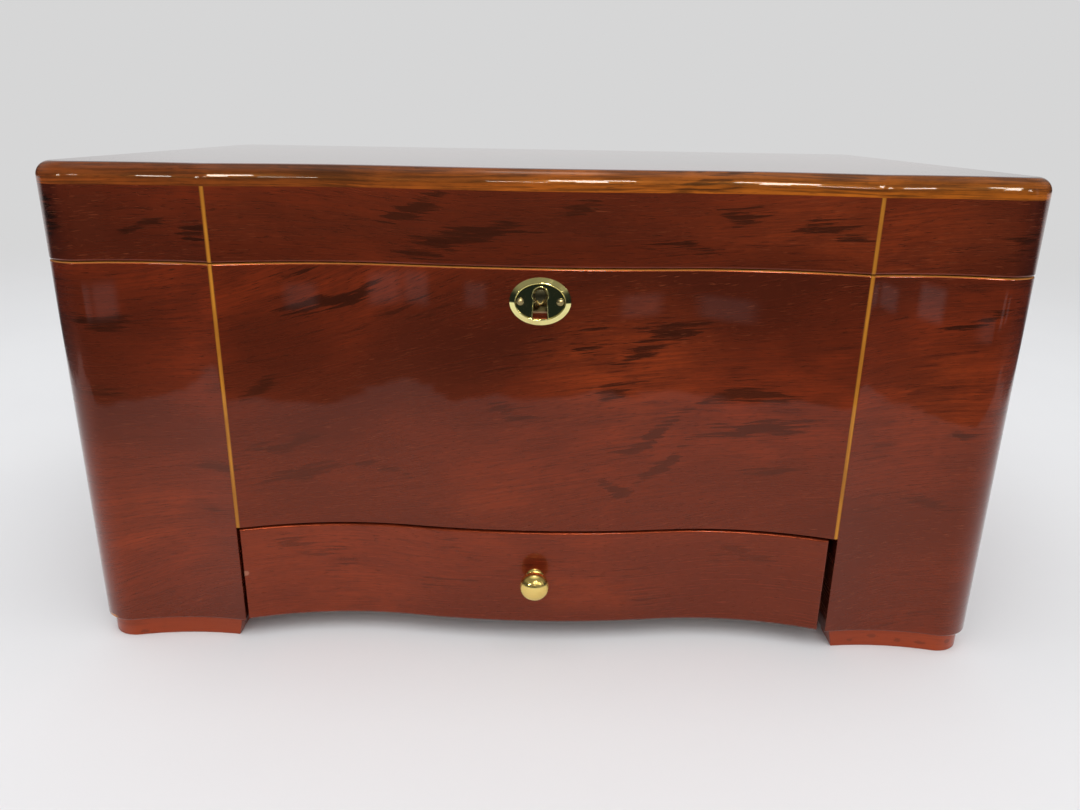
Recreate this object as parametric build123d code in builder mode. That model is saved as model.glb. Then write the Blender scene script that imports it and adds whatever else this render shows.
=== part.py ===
from build123d import *
import os

os.makedirs("parts", exist_ok=True)

# All sizes are in millimetres. X runs to the right, Y to the back, Z up. The origin lies on the
# table, in the middle of the whole object.

# The case and its lid
case_width = 406.0
case_depth = 250.0
foot_height = 9.4
opening_height = 48.1        # drawer opening, from the case's lower edge up
front_height = 117.7         # front above the drawer, up to the rim that the lid closes on
lid_gap = 0.3                # hairline between the rim and the closed lid
lid_wall_height = 30.0
top_thickness = 8.5
top_flat = 2.5               # upright part of its edge, below the rounding
edge_round = 0.9
corner_radius = 15.0
rear_corner_radius = 13.0

# The shaped front, as seen from above
string_spacing = 266.4       # between the middles of the two inlaid strings
string_width = 1.8
string_depth = 1.5
string_border = 0.4          # flat wood beside a string, before the hollows begin
wave_spacing = 160.0         # between the deepest points of the two hollows of the middle
wave_depth = 8.0
crown_setback = 2.6          # the middle crown stays this far behind the strings
pillar_hollow = 1.4          # of the arc between a string and the side, at its middle
pillar_reach = 6.8           # the arc comes this far forward at the side, before the corner is rounded

# Boards
front_board = 20.0
side_board = 14.0
back_board = 14.0
lid_relief = 0.5             # lid walls are this much thinner, to pass the cedar lip
chamber_floor_thickness = 6.0
base_thickness = 8.0
ceiling_thickness = 4.0

# Cedar lining, its lip above the rim, and the tray
lining_thickness = 5.0
lining_floor_thickness = 4.0
lip_height = 7.0
lip_taper = 0.9
tray_drop = 5.2              # from the rim down to the tray's top
tray_height = 44.0
tray_wall = 6.0
tray_bottom_thickness = 3.2
tray_clearance = 0.8
tray_rail_size = 6.0
tray_divider_thickness = 5.0
tray_divider_drop = 8.8      # from the tray's top down to the divider's
tray_divider_x = 46.0
tray_slot_width = 5.0
tray_slot_pitch = 22.0
tray_slot_margin = 16.0      # solid border of the tray's bottom in front of and behind the slots
finger_hole_radius = 12.0
finger_hole_drop = 20.0      # from the tray's top down to the middle of the hole

# Drawer
drawer_play = 1.95           # each side of the drawer's front when it stands in the middle
drawer_shift = -1.25         # the drawer leans to the left of its opening
drawer_setback = 0.6
drawer_top_gap = 1.2
drawer_bottom_gap = 0.4
drawer_front_thickness = 18.0
drawer_front_round = 1.2
drawer_side_inset = 2.0      # sides stand in from the ends of the front
drawer_side_thickness = 8.0
drawer_side_gap = 5.6        # from the top of the opening down to the sides
drawer_run_gap = 0.3
drawer_bottom_thickness = 3.0
drawer_bottom_lift = 3.0     # bottom's height above the lower edge of the sides
drawer_groove_depth = 3.0
guide_clearance = 1.55
guide_width = 10.0
guide_height = 20.0
stop_thickness = 8.0
stop_height = 14.0
stop_gap = 0.3

# Knob
knob_height = 24.6           # of its axis above the case's lower edge
knob_offset = 0.75           # to the right of the drawer's middle
knob_radius = 6.3            # of the knob's head, a flattened ball
knob_half_thickness = 4.5
knob_stand = 8.9             # from the drawer's face to the middle of the head
knob_flange_lap = 1.1        # of the flange past the neck
knob_flange_thickness = 1.3
knob_flange_round = 0.9
knob_neck_wall = 0.4         # of the neck round its thread
knob_screw_radius = 2.0
knob_thread_depth = 9.0
knob_screw_head_radius = 4.2
knob_screw_head_height = 2.4
knob_screw_head_round = 1.4
screw_clearance = 0.1

# Feet
foot_inset = 2.5
foot_leg_thickness = 18.0
foot_side_length = 62.0
foot_end_margin = 2.9        # from the drawer opening to the foot's upper inner edge
foot_end_slant = 2.0

# Hinges
hinge_spacing = 250.0
leaf_length = 50.0
leaf_margin = 2.0            # wood left between a leaf and the inside of the back
leaf_thickness = 1.8
barrel_radius = 2.6
barrel_gap = 0.3             # between the barrel and the back of the case
pin_radius = 1.3
pin_clearance = 0.05
knuckle_length = 17.0
knuckle_gap = 0.3
hinge_screw_spacing = 18.0
hinge_screw_length = 11.0

# Countersunk brass screws of the hinges, the lock and the strike
csk_head_radius = 2.2
csk_shank_radius = 1.2
csk_slot_width = 0.5
csk_slot_depth = 0.6
csk_tip_length = 1.5

# Lock
key_drop = 13.4              # from the rim down to the key post
key_post_radius = 1.6
key_post_round = 0.95
key_post_recess = 2.0        # from the face of the escutcheon's rim back to the post's end
lock_wall = 1.5
lock_foot = 14.4             # from the key post down to the lock's underside
face_plate_thickness = 1.8
face_plate_lap = 0.9         # of the face plate past the lock case, at front and back
lock_screw_margin = 3.0      # from the lock case to a screw
face_plate_margin = 5.0      # from a screw to the end of the face plate
lock_screw_length = 10.0
link_spacing = 18.0          # between the middles of the two links on the strike
link_thickness = 2.0
link_rim = 1.2               # metal round a link's window
link_clearance = 0.6
bolt_travel = 4.0
bolt_side_clearance = 0.3
bolt_end_clearance = 2.5
bolt_finger_height = 2.4
bolt_finger_thickness = 2.6
bolt_finger_clearance = 0.5
bolt_riser_width = 4.0
bolt_riser_gap = 0.6         # from a riser to its link when locked
bolt_bar_height = 2.0
bolt_bar_gap = 0.5           # above the bar to the links, and below it to the key post
bolt_ledge_width = 4.0
bolt_ledge_spacing = 18.0
strike_thickness = 1.6
strike_screw_margin = 5.5    # from the middle of a link to a screw
strike_end_margin = 3.5      # from a screw to the end of the strike
strike_screw_length = 9.0

# Escutcheon
escutcheon_width = 25.3
escutcheon_height = 19.8
escutcheon_seat = 0.3        # depth of the flat that is cut for it
escutcheon_rim_height = 2.1
escutcheon_field_height = 1.1
escutcheon_rim_width = 2.0
escutcheon_rim_bevel = 0.8
keyhole_round_radius = 3.1
keyhole_round_lift = 2.85    # of the round part above the escutcheon's middle
keyhole_slot_top_width = 5.1
keyhole_slot_foot_width = 6.1
keyhole_margin = 0.9         # from the slot's lower end to the rim of the escutcheon
keyhole_lip_width = 0.45
keyhole_lip_height = 0.4
escutcheon_screw_inset = 4.45  # from the end of the plate to a screw
escutcheon_screw_head_radius = 1.55
escutcheon_screw_head_height = 0.8
escutcheon_screw_head_round = 0.7
escutcheon_screw_shank_radius = 0.8
escutcheon_screw_tip_gap = 0.5  # from a screw's tip to the lock

# Humidifier and hygrometer, under the lid
humidifier_length = 132.0
humidifier_width = 56.0
humidifier_height = 11.0
humidifier_wall = 1.6
humidifier_corner = 5.0
humidifier_x = -52.0
grille_thickness = 2.0
grille_slot_width = 3.0
grille_slot_pitch = 7.0
grille_margin = 4.2
hygrometer_x = 92.0
hygrometer_radius = 23.0
hygrometer_wall = 1.4
hygrometer_bezel = 2.6       # radial width of the ring that holds the glass
hygrometer_bezel_height = 1.2
glass_thickness = 1.2
dial_thickness = 0.8
dial_depth = 3.4             # from the glass to the dial
dial_ledge = 1.6
dial_room = 2.0              # between the dial and the top of the case
needle_length = 15.5
needle_tail = 5.0
needle_width = 1.4
needle_thickness = 0.5
needle_hub_radius = 1.8
needle_arbor_radius = 0.5
needle_arbor_end = 0.8       # of the arbor past the dial
needle_gap = 1.0             # from the needle to the dial

# Working allowances of the cuts
overshoot = 1.0              # a cut runs this far past the faces that it opens
near = 0.01                  # what lies within this distance of a line lies on it

# Levels
case_z = foot_height
opening_z = case_z + opening_height
rim_z = opening_z + front_height
lid_z = rim_z + lid_gap
top_z = lid_z + lid_wall_height
base_top_z = case_z + base_thickness
chamber_z = opening_z + chamber_floor_thickness
lining_z = chamber_z + lining_floor_thickness
tray_top_z = rim_z - tray_drop
tray_z = tray_top_z - tray_height
ceiling_z = top_z - ceiling_thickness

# Places in depth and width
barrel_reach = barrel_gap + 2 * barrel_radius
knob_reach = knob_stand + knob_half_thickness - crown_setback - drawer_setback
front_y = -(case_depth + barrel_reach - knob_reach) / 2
front_limit_y = front_y - pillar_reach    # ahead of the whole outline of the case
back_y = front_y + case_depth
front_inner_y = front_y + front_board
back_inner_y = back_y - back_board
side_x = case_width / 2
side_inner_x = side_x - side_board
chamber_front_y = front_inner_y + lining_thickness
chamber_back_y = back_inner_y - lining_thickness
chamber_x = side_inner_x - lining_thickness
middle_y = (chamber_front_y + chamber_back_y) / 2
opening_width = string_spacing + string_width
hinge_y = back_y + barrel_gap + barrel_radius
hinge_z = rim_z + lid_gap / 2
lock_y = (front_y + crown_setback + front_inner_y) / 2
key_z = rim_z - key_drop


def wave_line(end_x):
    """Wavy middle of the front from above: a crown between two hollows that end on the front."""
    wave_x = wave_spacing / 2
    rise = wave_depth - crown_setback
    hollow_radius = ((end_x - wave_x) ** 2 + wave_depth**2) / (2 * wave_depth)
    both_radii = (wave_x**2 + rise**2) / (2 * rise)
    crown_radius = both_radii - hollow_radius
    join_x = wave_x * crown_radius / both_radii
    join_y = front_y + crown_setback + rise * crown_radius / both_radii
    with BuildLine() as wave:
        ThreePointArc((-join_x, join_y), (0, front_y + crown_setback), (join_x, join_y))
        for side in (1, -1):
            ThreePointArc(
                (side * join_x, join_y),
                (side * wave_x, front_y + wave_depth),
                (side * end_x, front_y),
            )
    return wave.line


def case_plan():
    """Outline of the case from above: two hollow pillars, a wavy middle, straight sides and back."""
    string_in = (string_spacing - string_width) / 2 - string_border
    string_out = (string_spacing + string_width) / 2 + string_border
    with BuildSketch() as plan:
        with BuildLine():
            add(wave_line(string_in))
            for side in (1, -1):
                Line((side * string_in, front_y), (side * string_out, front_y))
                ThreePointArc(
                    (side * string_out, front_y),
                    (side * (string_out + side_x) / 2, front_y + pillar_hollow),
                    (side * side_x, front_y - pillar_reach),
                )
                Line((side * side_x, front_y - pillar_reach), (side * side_x, back_y))
            Line((-side_x, back_y), (side_x, back_y))
        make_face()
        fillet(plan.vertices().group_by(Axis.Y)[0], corner_radius)
        fillet(plan.vertices().group_by(Axis.Y)[-1], rear_corner_radius)
    return plan.sketch


plan_face = case_plan()
plan_wire = plan_face.face().outer_wire()


def plan_slice(width, low_y, high_y):
    """The part of the case's plan that lies between two depths, as wide as given."""
    with BuildSketch() as piece:
        add(plan_face)
        with Locations((0, (low_y + high_y) / 2)):
            Rectangle(width, high_y - low_y, mode=Mode.INTERSECT)
    return piece.sketch


def slab(low, high):
    """A plain rectangular piece between two opposite corners."""
    size = [b - a for a, b in zip(low, high)]
    with BuildPart() as block:
        with Locations(low):
            Box(*size, align=Align.MIN)
    return block.part


def outline_edges(board, level):
    """Edges of a board at one level that lie on the outline of the case."""
    rim = plan_wire.moved(Location((0, 0, level)))
    flat = board.edges().filter_by_position(Axis.Z, level - near, level + near)
    return flat.filter_by(lambda edge: rim.distance_to(edge @ 0.5) < near)


def case_board(outline, low_z, high_z, round_low, round_high):
    """A board with the case's outline, its outer edges rounded below, above or both."""
    with BuildPart() as board:
        with BuildSketch(Plane.XY.offset(low_z)):
            add(outline)
        extrude(amount=high_z - low_z)
        if round_low:
            fillet(outline_edges(board, low_z), edge_round)
        if round_high:
            fillet(outline_edges(board, high_z), edge_round)
    return board.part


def facing_front(y):
    """Upright plane at one depth, seen from the front: its X is the object's, its Y is up."""
    return Plane(origin=(0, y, 0), x_dir=(1, 0, 0), z_dir=(0, -1, 0))


def countersunk_screw(length, clearance=0.0):
    """Brass wood screw that points down from its flat head, or the bore that takes it."""
    head = csk_head_radius + clearance
    shank = csk_shank_radius + clearance
    with BuildPart() as screw:
        with BuildSketch(Plane.XZ):
            with BuildLine():
                Polyline(
                    (0, 0),
                    (head, 0),
                    (shank, shank - head),
                    (shank, csk_tip_length - length - clearance),
                    (0, -length - clearance),
                    close=True,
                )
            make_face()
        revolve(axis=Axis.Z)
        if clearance == 0:
            Box(2 * head + overshoot, csk_slot_width, 2 * csk_slot_depth, mode=Mode.SUBTRACT)
    return screw.part


# Sizes of the lock, which follow its links and its bolt
window_width = bolt_finger_thickness + 2 * bolt_finger_clearance
window_height = bolt_finger_height + 2 * bolt_finger_clearance
link_width = window_width + 2 * link_rim
lock_inside = link_width + 2 * link_clearance
lock_thickness = lock_inside + 2 * lock_wall
face_plate_width = lock_thickness + 2 * face_plate_lap
bolt_reach = link_thickness / 2 + bolt_riser_gap + bolt_travel + bolt_riser_width
lock_inner_width = link_spacing + 2 * (bolt_reach + bolt_end_clearance)
lock_width = lock_inner_width + 2 * lock_wall
bolt_bar_length = lock_inner_width - bolt_travel - 2 * bolt_end_clearance
lock_screw_x = lock_width / 2 + lock_screw_margin
face_plate_length = 2 * (lock_screw_x + face_plate_margin)
strike_screw_x = link_spacing / 2 + strike_screw_margin
strike_length = 2 * (strike_screw_x + strike_end_margin)

# Screw places, which the plates, the boards and the screws themselves share
leaf_width = back_board - leaf_margin
hinge_xs = (-hinge_spacing / 2, hinge_spacing / 2)
leaf_middle_y = back_y - leaf_width / 2
hinge_screw_steps = (-hinge_screw_spacing, 0, hinge_screw_spacing)
hinge_screw_spots = [(x + step, leaf_middle_y) for x in hinge_xs for step in hinge_screw_steps]
lock_screw_spots = [(-lock_screw_x, lock_y), (lock_screw_x, lock_y)]
strike_screw_spots = [(-strike_screw_x, lock_y), (strike_screw_x, lock_y)]


def screws(spots, level, length, pointing_up=False, clearance=0.0):
    """A group of countersunk screws, or of their bores, at one level."""
    turn = (180, 0, 0) if pointing_up else (0, 0, 0)
    one = countersunk_screw(length, clearance)
    with BuildPart() as group:
        with Locations(*[(x, y, level) for x, y in spots]):
            add(one, rotation=turn)
    return group.part


def keyhole(grow=0.0):
    """Keyhole as seen from the front, about the middle of the escutcheon."""
    slot_drop = escutcheon_height / 2 - escutcheon_rim_width - keyhole_margin
    with BuildSketch() as hole:
        with Locations((0, keyhole_round_lift)):
            Circle(keyhole_round_radius + grow)
        with BuildLine():
            Polyline(
                (-keyhole_slot_top_width / 2 - grow, keyhole_round_lift),
                (-keyhole_slot_foot_width / 2 - grow, -slot_drop - grow),
                (keyhole_slot_foot_width / 2 + grow, -slot_drop - grow),
                (keyhole_slot_top_width / 2 + grow, keyhole_round_lift),
                close=True,
            )
        make_face()
    return hole.sketch


# Levels and places inside the lock
bar_low_z = key_z + key_post_radius + bolt_bar_gap
bar_top_z = bar_low_z + bolt_bar_height
link_low_z = bar_top_z + bolt_bar_gap
link_window_z = link_low_z + link_rim + window_height / 2
face_plate_z = rim_z - face_plate_thickness
lock_low_z = key_z - lock_foot
lock_back_y = lock_y + lock_thickness / 2
lock_front_y = lock_y - lock_thickness / 2
link_xs = (-link_spacing / 2, link_spacing / 2)
bolt_ledge_xs = (-bolt_ledge_spacing / 2, bolt_ledge_spacing / 2)
escutcheon_screw_x = escutcheon_width / 2 - escutcheon_screw_inset
escutcheon_screw_xs = (-escutcheon_screw_x, escutcheon_screw_x)
escutcheon_y = front_y + crown_setback + escutcheon_seat
escutcheon_field_y = escutcheon_y - escutcheon_field_height
escutcheon_screw_length = lock_front_y - escutcheon_screw_tip_gap - escutcheon_field_y


def escutcheon_screw_bores():
    """Bores of the escutcheon's two screws, through the plate and into the wood behind it."""
    with BuildPart() as bores:
        with Locations(*[(x, escutcheon_field_y, key_z) for x in escutcheon_screw_xs]):
            Cylinder(
                escutcheon_screw_shank_radius + screw_clearance,
                2 * (escutcheon_screw_length + screw_clearance),
                rotation=(90, 0, 0),
            )
    return bores.part


# Case front: one shaped board with the drawer opening cut up from below
front_plan = plan_slice(case_width, front_limit_y, front_inner_y)
front_blank = case_board(front_plan, case_z, rim_z, True, True)
string_xs = (-string_spacing / 2, string_spacing / 2)
groove_align = (Align.CENTER, Align.CENTER, Align.MIN)
with BuildPart() as string_grooves:
    with Locations(*[(x, front_y, opening_z) for x in string_xs]):
        Box(string_width, 2 * string_depth, front_height, align=groove_align)

with BuildPart() as body_front:
    add(front_blank)
    add(
        slab(
            (-opening_width / 2, front_y - overshoot, case_z - overshoot),
            (opening_width / 2, front_inner_y + overshoot, opening_z),
        ),
        mode=Mode.SUBTRACT,
    )
    add(string_grooves.part, mode=Mode.SUBTRACT)
    # mortise for the lock and its face plate
    add(
        slab((-lock_width / 2, lock_front_y, lock_low_z), (lock_width / 2, lock_back_y, rim_z + overshoot)),
        mode=Mode.SUBTRACT,
    )
    add(
        slab(
            (-face_plate_length / 2, lock_y - face_plate_width / 2, face_plate_z),
            (face_plate_length / 2, lock_y + face_plate_width / 2, rim_z + overshoot),
        ),
        mode=Mode.SUBTRACT,
    )
    add(
        screws(lock_screw_spots, rim_z, lock_screw_length, clearance=screw_clearance),
        mode=Mode.SUBTRACT,
    )
    # flat seat of the escutcheon, and the keyhole behind it
    with BuildSketch(facing_front(escutcheon_y)):
        with Locations((0, key_z)):
            Ellipse(escutcheon_width / 2, escutcheon_height / 2)
    extrude(amount=escutcheon_y - front_y, mode=Mode.SUBTRACT)
    with BuildSketch(facing_front(lock_front_y)):
        with Locations((0, key_z)):
            add(keyhole())
    extrude(amount=lock_front_y - front_y, mode=Mode.SUBTRACT)
    add(escutcheon_screw_bores(), mode=Mode.SUBTRACT)
body_front.part.label = "body_front"
export_step(body_front.part, "parts/body_front.step")

# Case sides and back
for side, name in ((-1, "body_left_side"), (1, "body_right_side")):
    with BuildPart() as body_side:
        with BuildSketch(Plane.XY.offset(case_z)):
            with Locations((side * side_x, front_inner_y)):
                Rectangle(2 * side_board, back_inner_y - front_inner_y, align=(Align.CENTER, Align.MIN))
            add(plan_face, mode=Mode.INTERSECT)
        extrude(amount=rim_z - case_z)
        fillet(outline_edges(body_side, rim_z) + outline_edges(body_side, case_z), edge_round)
    body_side.part.label = name
    export_step(body_side.part, f"parts/{name}.step")

with BuildPart() as body_back:
    add(case_board(plan_slice(case_width, back_inner_y, back_y), case_z, rim_z, True, True))
    with Locations(*[(x, back_y, rim_z) for x in hinge_xs]):
        Box(leaf_length, 2 * leaf_width, 2 * leaf_thickness, mode=Mode.SUBTRACT)
    add(
        screws(hinge_screw_spots, rim_z, hinge_screw_length, clearance=screw_clearance),
        mode=Mode.SUBTRACT,
    )
body_back.part.label = "body_back"
export_step(body_back.part, "parts/body_back.step")

# Inlaid strings: each fills its groove and is rounded with the edges that it crosses
with BuildPart() as body_strings:
    add(string_grooves.part)
    add(front_blank, mode=Mode.INTERSECT)
body_strings.part.label = "body_strings"
export_step(body_strings.part, "parts/body_strings.step")

# Floors of the chamber and of the drawer bay
with BuildPart() as chamber_floor:
    add(slab((-side_inner_x, front_inner_y, opening_z), (side_inner_x, back_inner_y, chamber_z)))
chamber_floor.part.label = "chamber_floor"
export_step(chamber_floor.part, "parts/chamber_floor.step")

with BuildPart() as base_board:
    add(slab((-side_inner_x, front_inner_y, case_z), (side_inner_x, back_inner_y, base_top_z)))
base_board.part.label = "base_board"
export_step(base_board.part, "parts/base_board.step")

# Drawer sizes, which the guides and the stop follow
drawer_front_width = opening_width - 2 * drawer_play
drawer_half = drawer_front_width / 2 - drawer_side_inset
guide_x = drawer_half + guide_clearance
drawer_low_z = base_top_z + drawer_run_gap
drawer_side_top_z = opening_z - drawer_side_gap
drawer_inner_y = front_y + drawer_front_thickness
stop_y = back_inner_y - stop_thickness
drawer_back_y = stop_y - stop_gap

with BuildPart() as drawer_guides:
    for side in (-1, 1):
        with Locations((side * (guide_x + guide_width / 2), front_inner_y, base_top_z)):
            Box(
                guide_width,
                back_inner_y - front_inner_y,
                guide_height,
                align=(Align.CENTER, Align.MIN, Align.MIN),
            )
drawer_guides.part.label = "drawer_guides"
export_step(drawer_guides.part, "parts/drawer_guides.step")

with BuildPart() as drawer_stop:
    add(slab((-guide_x, stop_y, base_top_z), (guide_x, back_inner_y, base_top_z + stop_height)))
drawer_stop.part.label = "drawer_stop"
export_step(drawer_stop.part, "parts/drawer_stop.step")


foot_plan = offset(plan_face, -foot_inset, kind=Kind.INTERSECTION)


def foot(side, at_front):
    """Corner foot: two legs that follow the case, set in a little, with slanted inner ends."""
    corner_y = front_y if at_front else back_y
    inward = 1 if at_front else -1
    end_x = opening_width / 2 + foot_end_margin
    leg_length = side_x - end_x
    with BuildPart() as block:
        with BuildSketch():
            with Locations((side * (side_x - leg_length / 2), corner_y)):
                Rectangle(leg_length, 2 * foot_leg_thickness)
            with Locations((side * (side_x - foot_leg_thickness / 2), corner_y)):
                Rectangle(foot_leg_thickness, 2 * foot_side_length)
            add(foot_plan, mode=Mode.INTERSECT)
        extrude(amount=foot_height)
        with BuildSketch(facing_front(corner_y + inward * foot_leg_thickness)):
            Polygon(
                (side * end_x, 0),
                (side * (end_x + foot_end_slant), 0),
                (side * end_x, foot_height),
                align=None,
            )
        extrude(amount=inward * 2 * foot_leg_thickness, mode=Mode.SUBTRACT)
        end_y = corner_y + inward * foot_side_length
        with BuildSketch(Plane.YZ.offset(side * (side_x - foot_leg_thickness))):
            Polygon((end_y, 0), (end_y - inward * foot_end_slant, 0), (end_y, foot_height), align=None)
        extrude(amount=side * 2 * foot_leg_thickness, mode=Mode.SUBTRACT)
    return block.part


for side, side_word in ((-1, "left"), (1, "right")):
    for at_front, end_word in ((True, "front"), (False, "rear")):
        one_foot = foot(side, at_front)
        one_foot.label = f"foot_{end_word}_{side_word}"
        export_step(one_foot, f"parts/{one_foot.label}.step")

# Cedar lining. Each wall rises over the rim as a lip, tapered on its outer side.
lip_z = rim_z + lip_height


def lining_profile(outer, inward):
    """Section of a lining wall, from its outer face inwards."""
    with BuildSketch() as section:
        Polygon(
            (outer, lining_z),
            (outer + inward * lining_thickness, lining_z),
            (outer + inward * lining_thickness, lip_z),
            (outer + inward * lip_taper, lip_z),
            (outer, rim_z),
            align=None,
        )
    return section.sketch


for outer_y, inward, name in ((front_inner_y, 1, "lining_front"), (back_inner_y, -1, "lining_back")):
    with BuildPart() as lining_wall:
        with BuildSketch(Plane.YZ):
            add(lining_profile(outer_y, inward))
        extrude(amount=side_inner_x, both=True)
    # the ends of the lip are tapered too, to pass the side walls of the lid
    with BuildPart() as lining_long:
        add(lining_wall.part)
        for side in (-1, 1):
            with BuildSketch(Plane.XZ.offset(-outer_y)):
                Polygon(
                    (side * side_inner_x, rim_z),
                    (side * (side_inner_x - lip_taper), lip_z),
                    (side * side_inner_x, lip_z),
                    align=None,
                )
            extrude(amount=2 * lining_thickness, both=True, mode=Mode.SUBTRACT)
    lining_long.part.label = name
    export_step(lining_long.part, f"parts/{name}.step")

for side, name in ((-1, "lining_left"), (1, "lining_right")):
    with BuildPart() as lining_side:
        with BuildSketch(Plane.XZ.offset(-chamber_front_y)):
            add(lining_profile(side * side_inner_x, -side))
        extrude(amount=chamber_front_y - chamber_back_y)
    lining_side.part.label = name
    export_step(lining_side.part, f"parts/{name}.step")

with BuildPart() as lining_floor:
    add(slab((-side_inner_x, front_inner_y, chamber_z), (side_inner_x, back_inner_y, lining_z)))
lining_floor.part.label = "lining_floor"
export_step(lining_floor.part, "parts/lining_floor.step")

with BuildPart() as tray_rails:
    for side in (-1, 1):
        with Locations((side * (chamber_x - tray_rail_size / 2), middle_y, tray_z)):
            Box(
                tray_rail_size,
                chamber_back_y - chamber_front_y,
                tray_rail_size,
                align=(Align.CENTER, Align.CENTER, Align.MAX),
            )
tray_rails.part.label = "tray_rails"
export_step(tray_rails.part, "parts/tray_rails.step")

# Cedar tray that lifts out of the chamber
tray_x = chamber_x - tray_clearance
tray_front_y = chamber_front_y + tray_clearance
tray_back_y = chamber_back_y - tray_clearance
tray_inner_x = tray_x - tray_wall
tray_floor_z = tray_z + tray_bottom_thickness

for low_y, high_y, name in (
    (tray_front_y, tray_front_y + tray_wall, "tray_front"),
    (tray_back_y - tray_wall, tray_back_y, "tray_back"),
):
    with BuildPart() as tray_long:
        add(slab((-tray_x, low_y, tray_z), (tray_x, high_y, tray_top_z)))
    tray_long.part.label = name
    export_step(tray_long.part, f"parts/{name}.step")

for side, name in ((-1, "tray_left"), (1, "tray_right")):
    with BuildPart() as tray_end:
        with Locations((side * (tray_x - tray_wall / 2), middle_y, tray_z)):
            Box(
                tray_wall,
                tray_back_y - tray_front_y - 2 * tray_wall,
                tray_height,
                align=(Align.CENTER, Align.CENTER, Align.MIN),
            )
        with Locations((side * tray_x, middle_y, tray_top_z - finger_hole_drop)):
            Cylinder(finger_hole_radius, 2 * tray_wall + overshoot, rotation=(0, 90, 0), mode=Mode.SUBTRACT)
    tray_end.part.label = name
    export_step(tray_end.part, f"parts/{name}.step")

with BuildPart() as tray_bottom:
    add(
        slab(
            (-tray_inner_x, tray_front_y + tray_wall, tray_z),
            (tray_inner_x, tray_back_y - tray_wall, tray_floor_z),
        )
    )
    slot_count = 2 * int((tray_inner_x - tray_slot_margin) // tray_slot_pitch)
    slot_length = tray_back_y - tray_front_y - 2 * tray_wall - 2 * tray_slot_margin
    with Locations((0, middle_y, tray_z)):
        with GridLocations(tray_slot_pitch, 1, slot_count, 1):
            Box(tray_slot_width, slot_length, 2 * tray_bottom_thickness + overshoot, mode=Mode.SUBTRACT)
tray_bottom.part.label = "tray_bottom"
export_step(tray_bottom.part, "parts/tray_bottom.step")

with BuildPart() as tray_divider:
    with Locations((tray_divider_x, middle_y, tray_floor_z)):
        Box(
            tray_divider_thickness,
            tray_back_y - tray_front_y - 2 * tray_wall,
            tray_top_z - tray_divider_drop - tray_floor_z,
            align=(Align.CENTER, Align.CENTER, Align.MIN),
        )
tray_divider.part.label = "tray_divider"
export_step(tray_divider.part, "parts/tray_divider.step")

# Lock: an open-topped case in the front board, closed by its face plate
with BuildPart() as lock_case:
    add(slab((-lock_width / 2, lock_front_y, lock_low_z), (lock_width / 2, lock_back_y, face_plate_z)))
    add(
        slab(
            (-lock_width / 2 + lock_wall, lock_front_y + lock_wall, lock_low_z + lock_wall),
            (lock_width / 2 - lock_wall, lock_back_y - lock_wall, face_plate_z + overshoot),
        ),
        mode=Mode.SUBTRACT,
    )
    with BuildSketch(facing_front(lock_front_y + lock_wall)):
        with Locations((0, key_z)):
            add(keyhole())
    extrude(amount=2 * lock_wall, mode=Mode.SUBTRACT)
    # two ledges that carry the bolt, and the post that the key turns on
    for x in bolt_ledge_xs:
        add(
            slab(
                (x - bolt_ledge_width / 2, lock_y, lock_low_z + lock_wall),
                (
                    x + bolt_ledge_width / 2,
                    lock_back_y - lock_wall,
                    bar_low_z - bolt_side_clearance,
                ),
            )
        )
    post_front_y = escutcheon_y - escutcheon_rim_height + key_post_recess
    with BuildSketch(facing_front(lock_back_y - lock_wall)):
        with Locations((0, key_z)):
            Circle(key_post_radius)
    extrude(amount=lock_back_y - lock_wall - post_front_y)
    fillet(lock_case.edges().sort_by(Axis.Y)[0], key_post_round)
lock_case.part.label = "lock_case"
export_step(lock_case.part, "parts/lock_case.step")

with BuildPart() as lock_face_plate:
    add(
        slab(
            (-face_plate_length / 2, lock_y - face_plate_width / 2, face_plate_z),
            (face_plate_length / 2, lock_y + face_plate_width / 2, rim_z),
        )
    )
    with Locations(*[(x, lock_y, rim_z) for x in link_xs]):
        Box(
            link_thickness + 2 * link_clearance,
            link_width + 2 * link_clearance,
            2 * face_plate_thickness + overshoot,
            mode=Mode.SUBTRACT,
        )
    add(
        screws(lock_screw_spots, rim_z, lock_screw_length, clearance=screw_clearance),
        mode=Mode.SUBTRACT,
    )
lock_face_plate.part.label = "lock_face_plate"
export_step(lock_face_plate.part, "parts/lock_face_plate.step")

with BuildPart() as lock_screws:
    add(screws(lock_screw_spots, rim_z, lock_screw_length))
lock_screws.part.label = "lock_screws"
export_step(lock_screws.part, "parts/lock_screws.step")

# Bolt: a bar below the links with one hooked finger for each, drawn back to the left
with BuildPart() as lock_bolt:
    bar_depth = lock_inside - 2 * bolt_side_clearance
    with Locations((-bolt_travel / 2, lock_y, bar_low_z)):
        Box(bolt_bar_length, bar_depth, bolt_bar_height, align=(Align.CENTER, Align.CENTER, Align.MIN))
    for x in link_xs:
        tip_x = x - link_thickness / 2 - bolt_finger_clearance
        root_x = x - bolt_reach + bolt_riser_width
        finger_top_z = link_window_z + bolt_finger_height / 2
        add(
            slab(
                (root_x - bolt_riser_width, lock_y - bolt_finger_thickness / 2, bar_top_z),
                (root_x, lock_y + bolt_finger_thickness / 2, finger_top_z),
            )
        )
        add(
            slab(
                (root_x, lock_y - bolt_finger_thickness / 2, finger_top_z - bolt_finger_height),
                (tip_x, lock_y + bolt_finger_thickness / 2, finger_top_z),
            )
        )
lock_bolt.part.label = "lock_bolt"
export_step(lock_bolt.part, "parts/lock_bolt.step")

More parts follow.
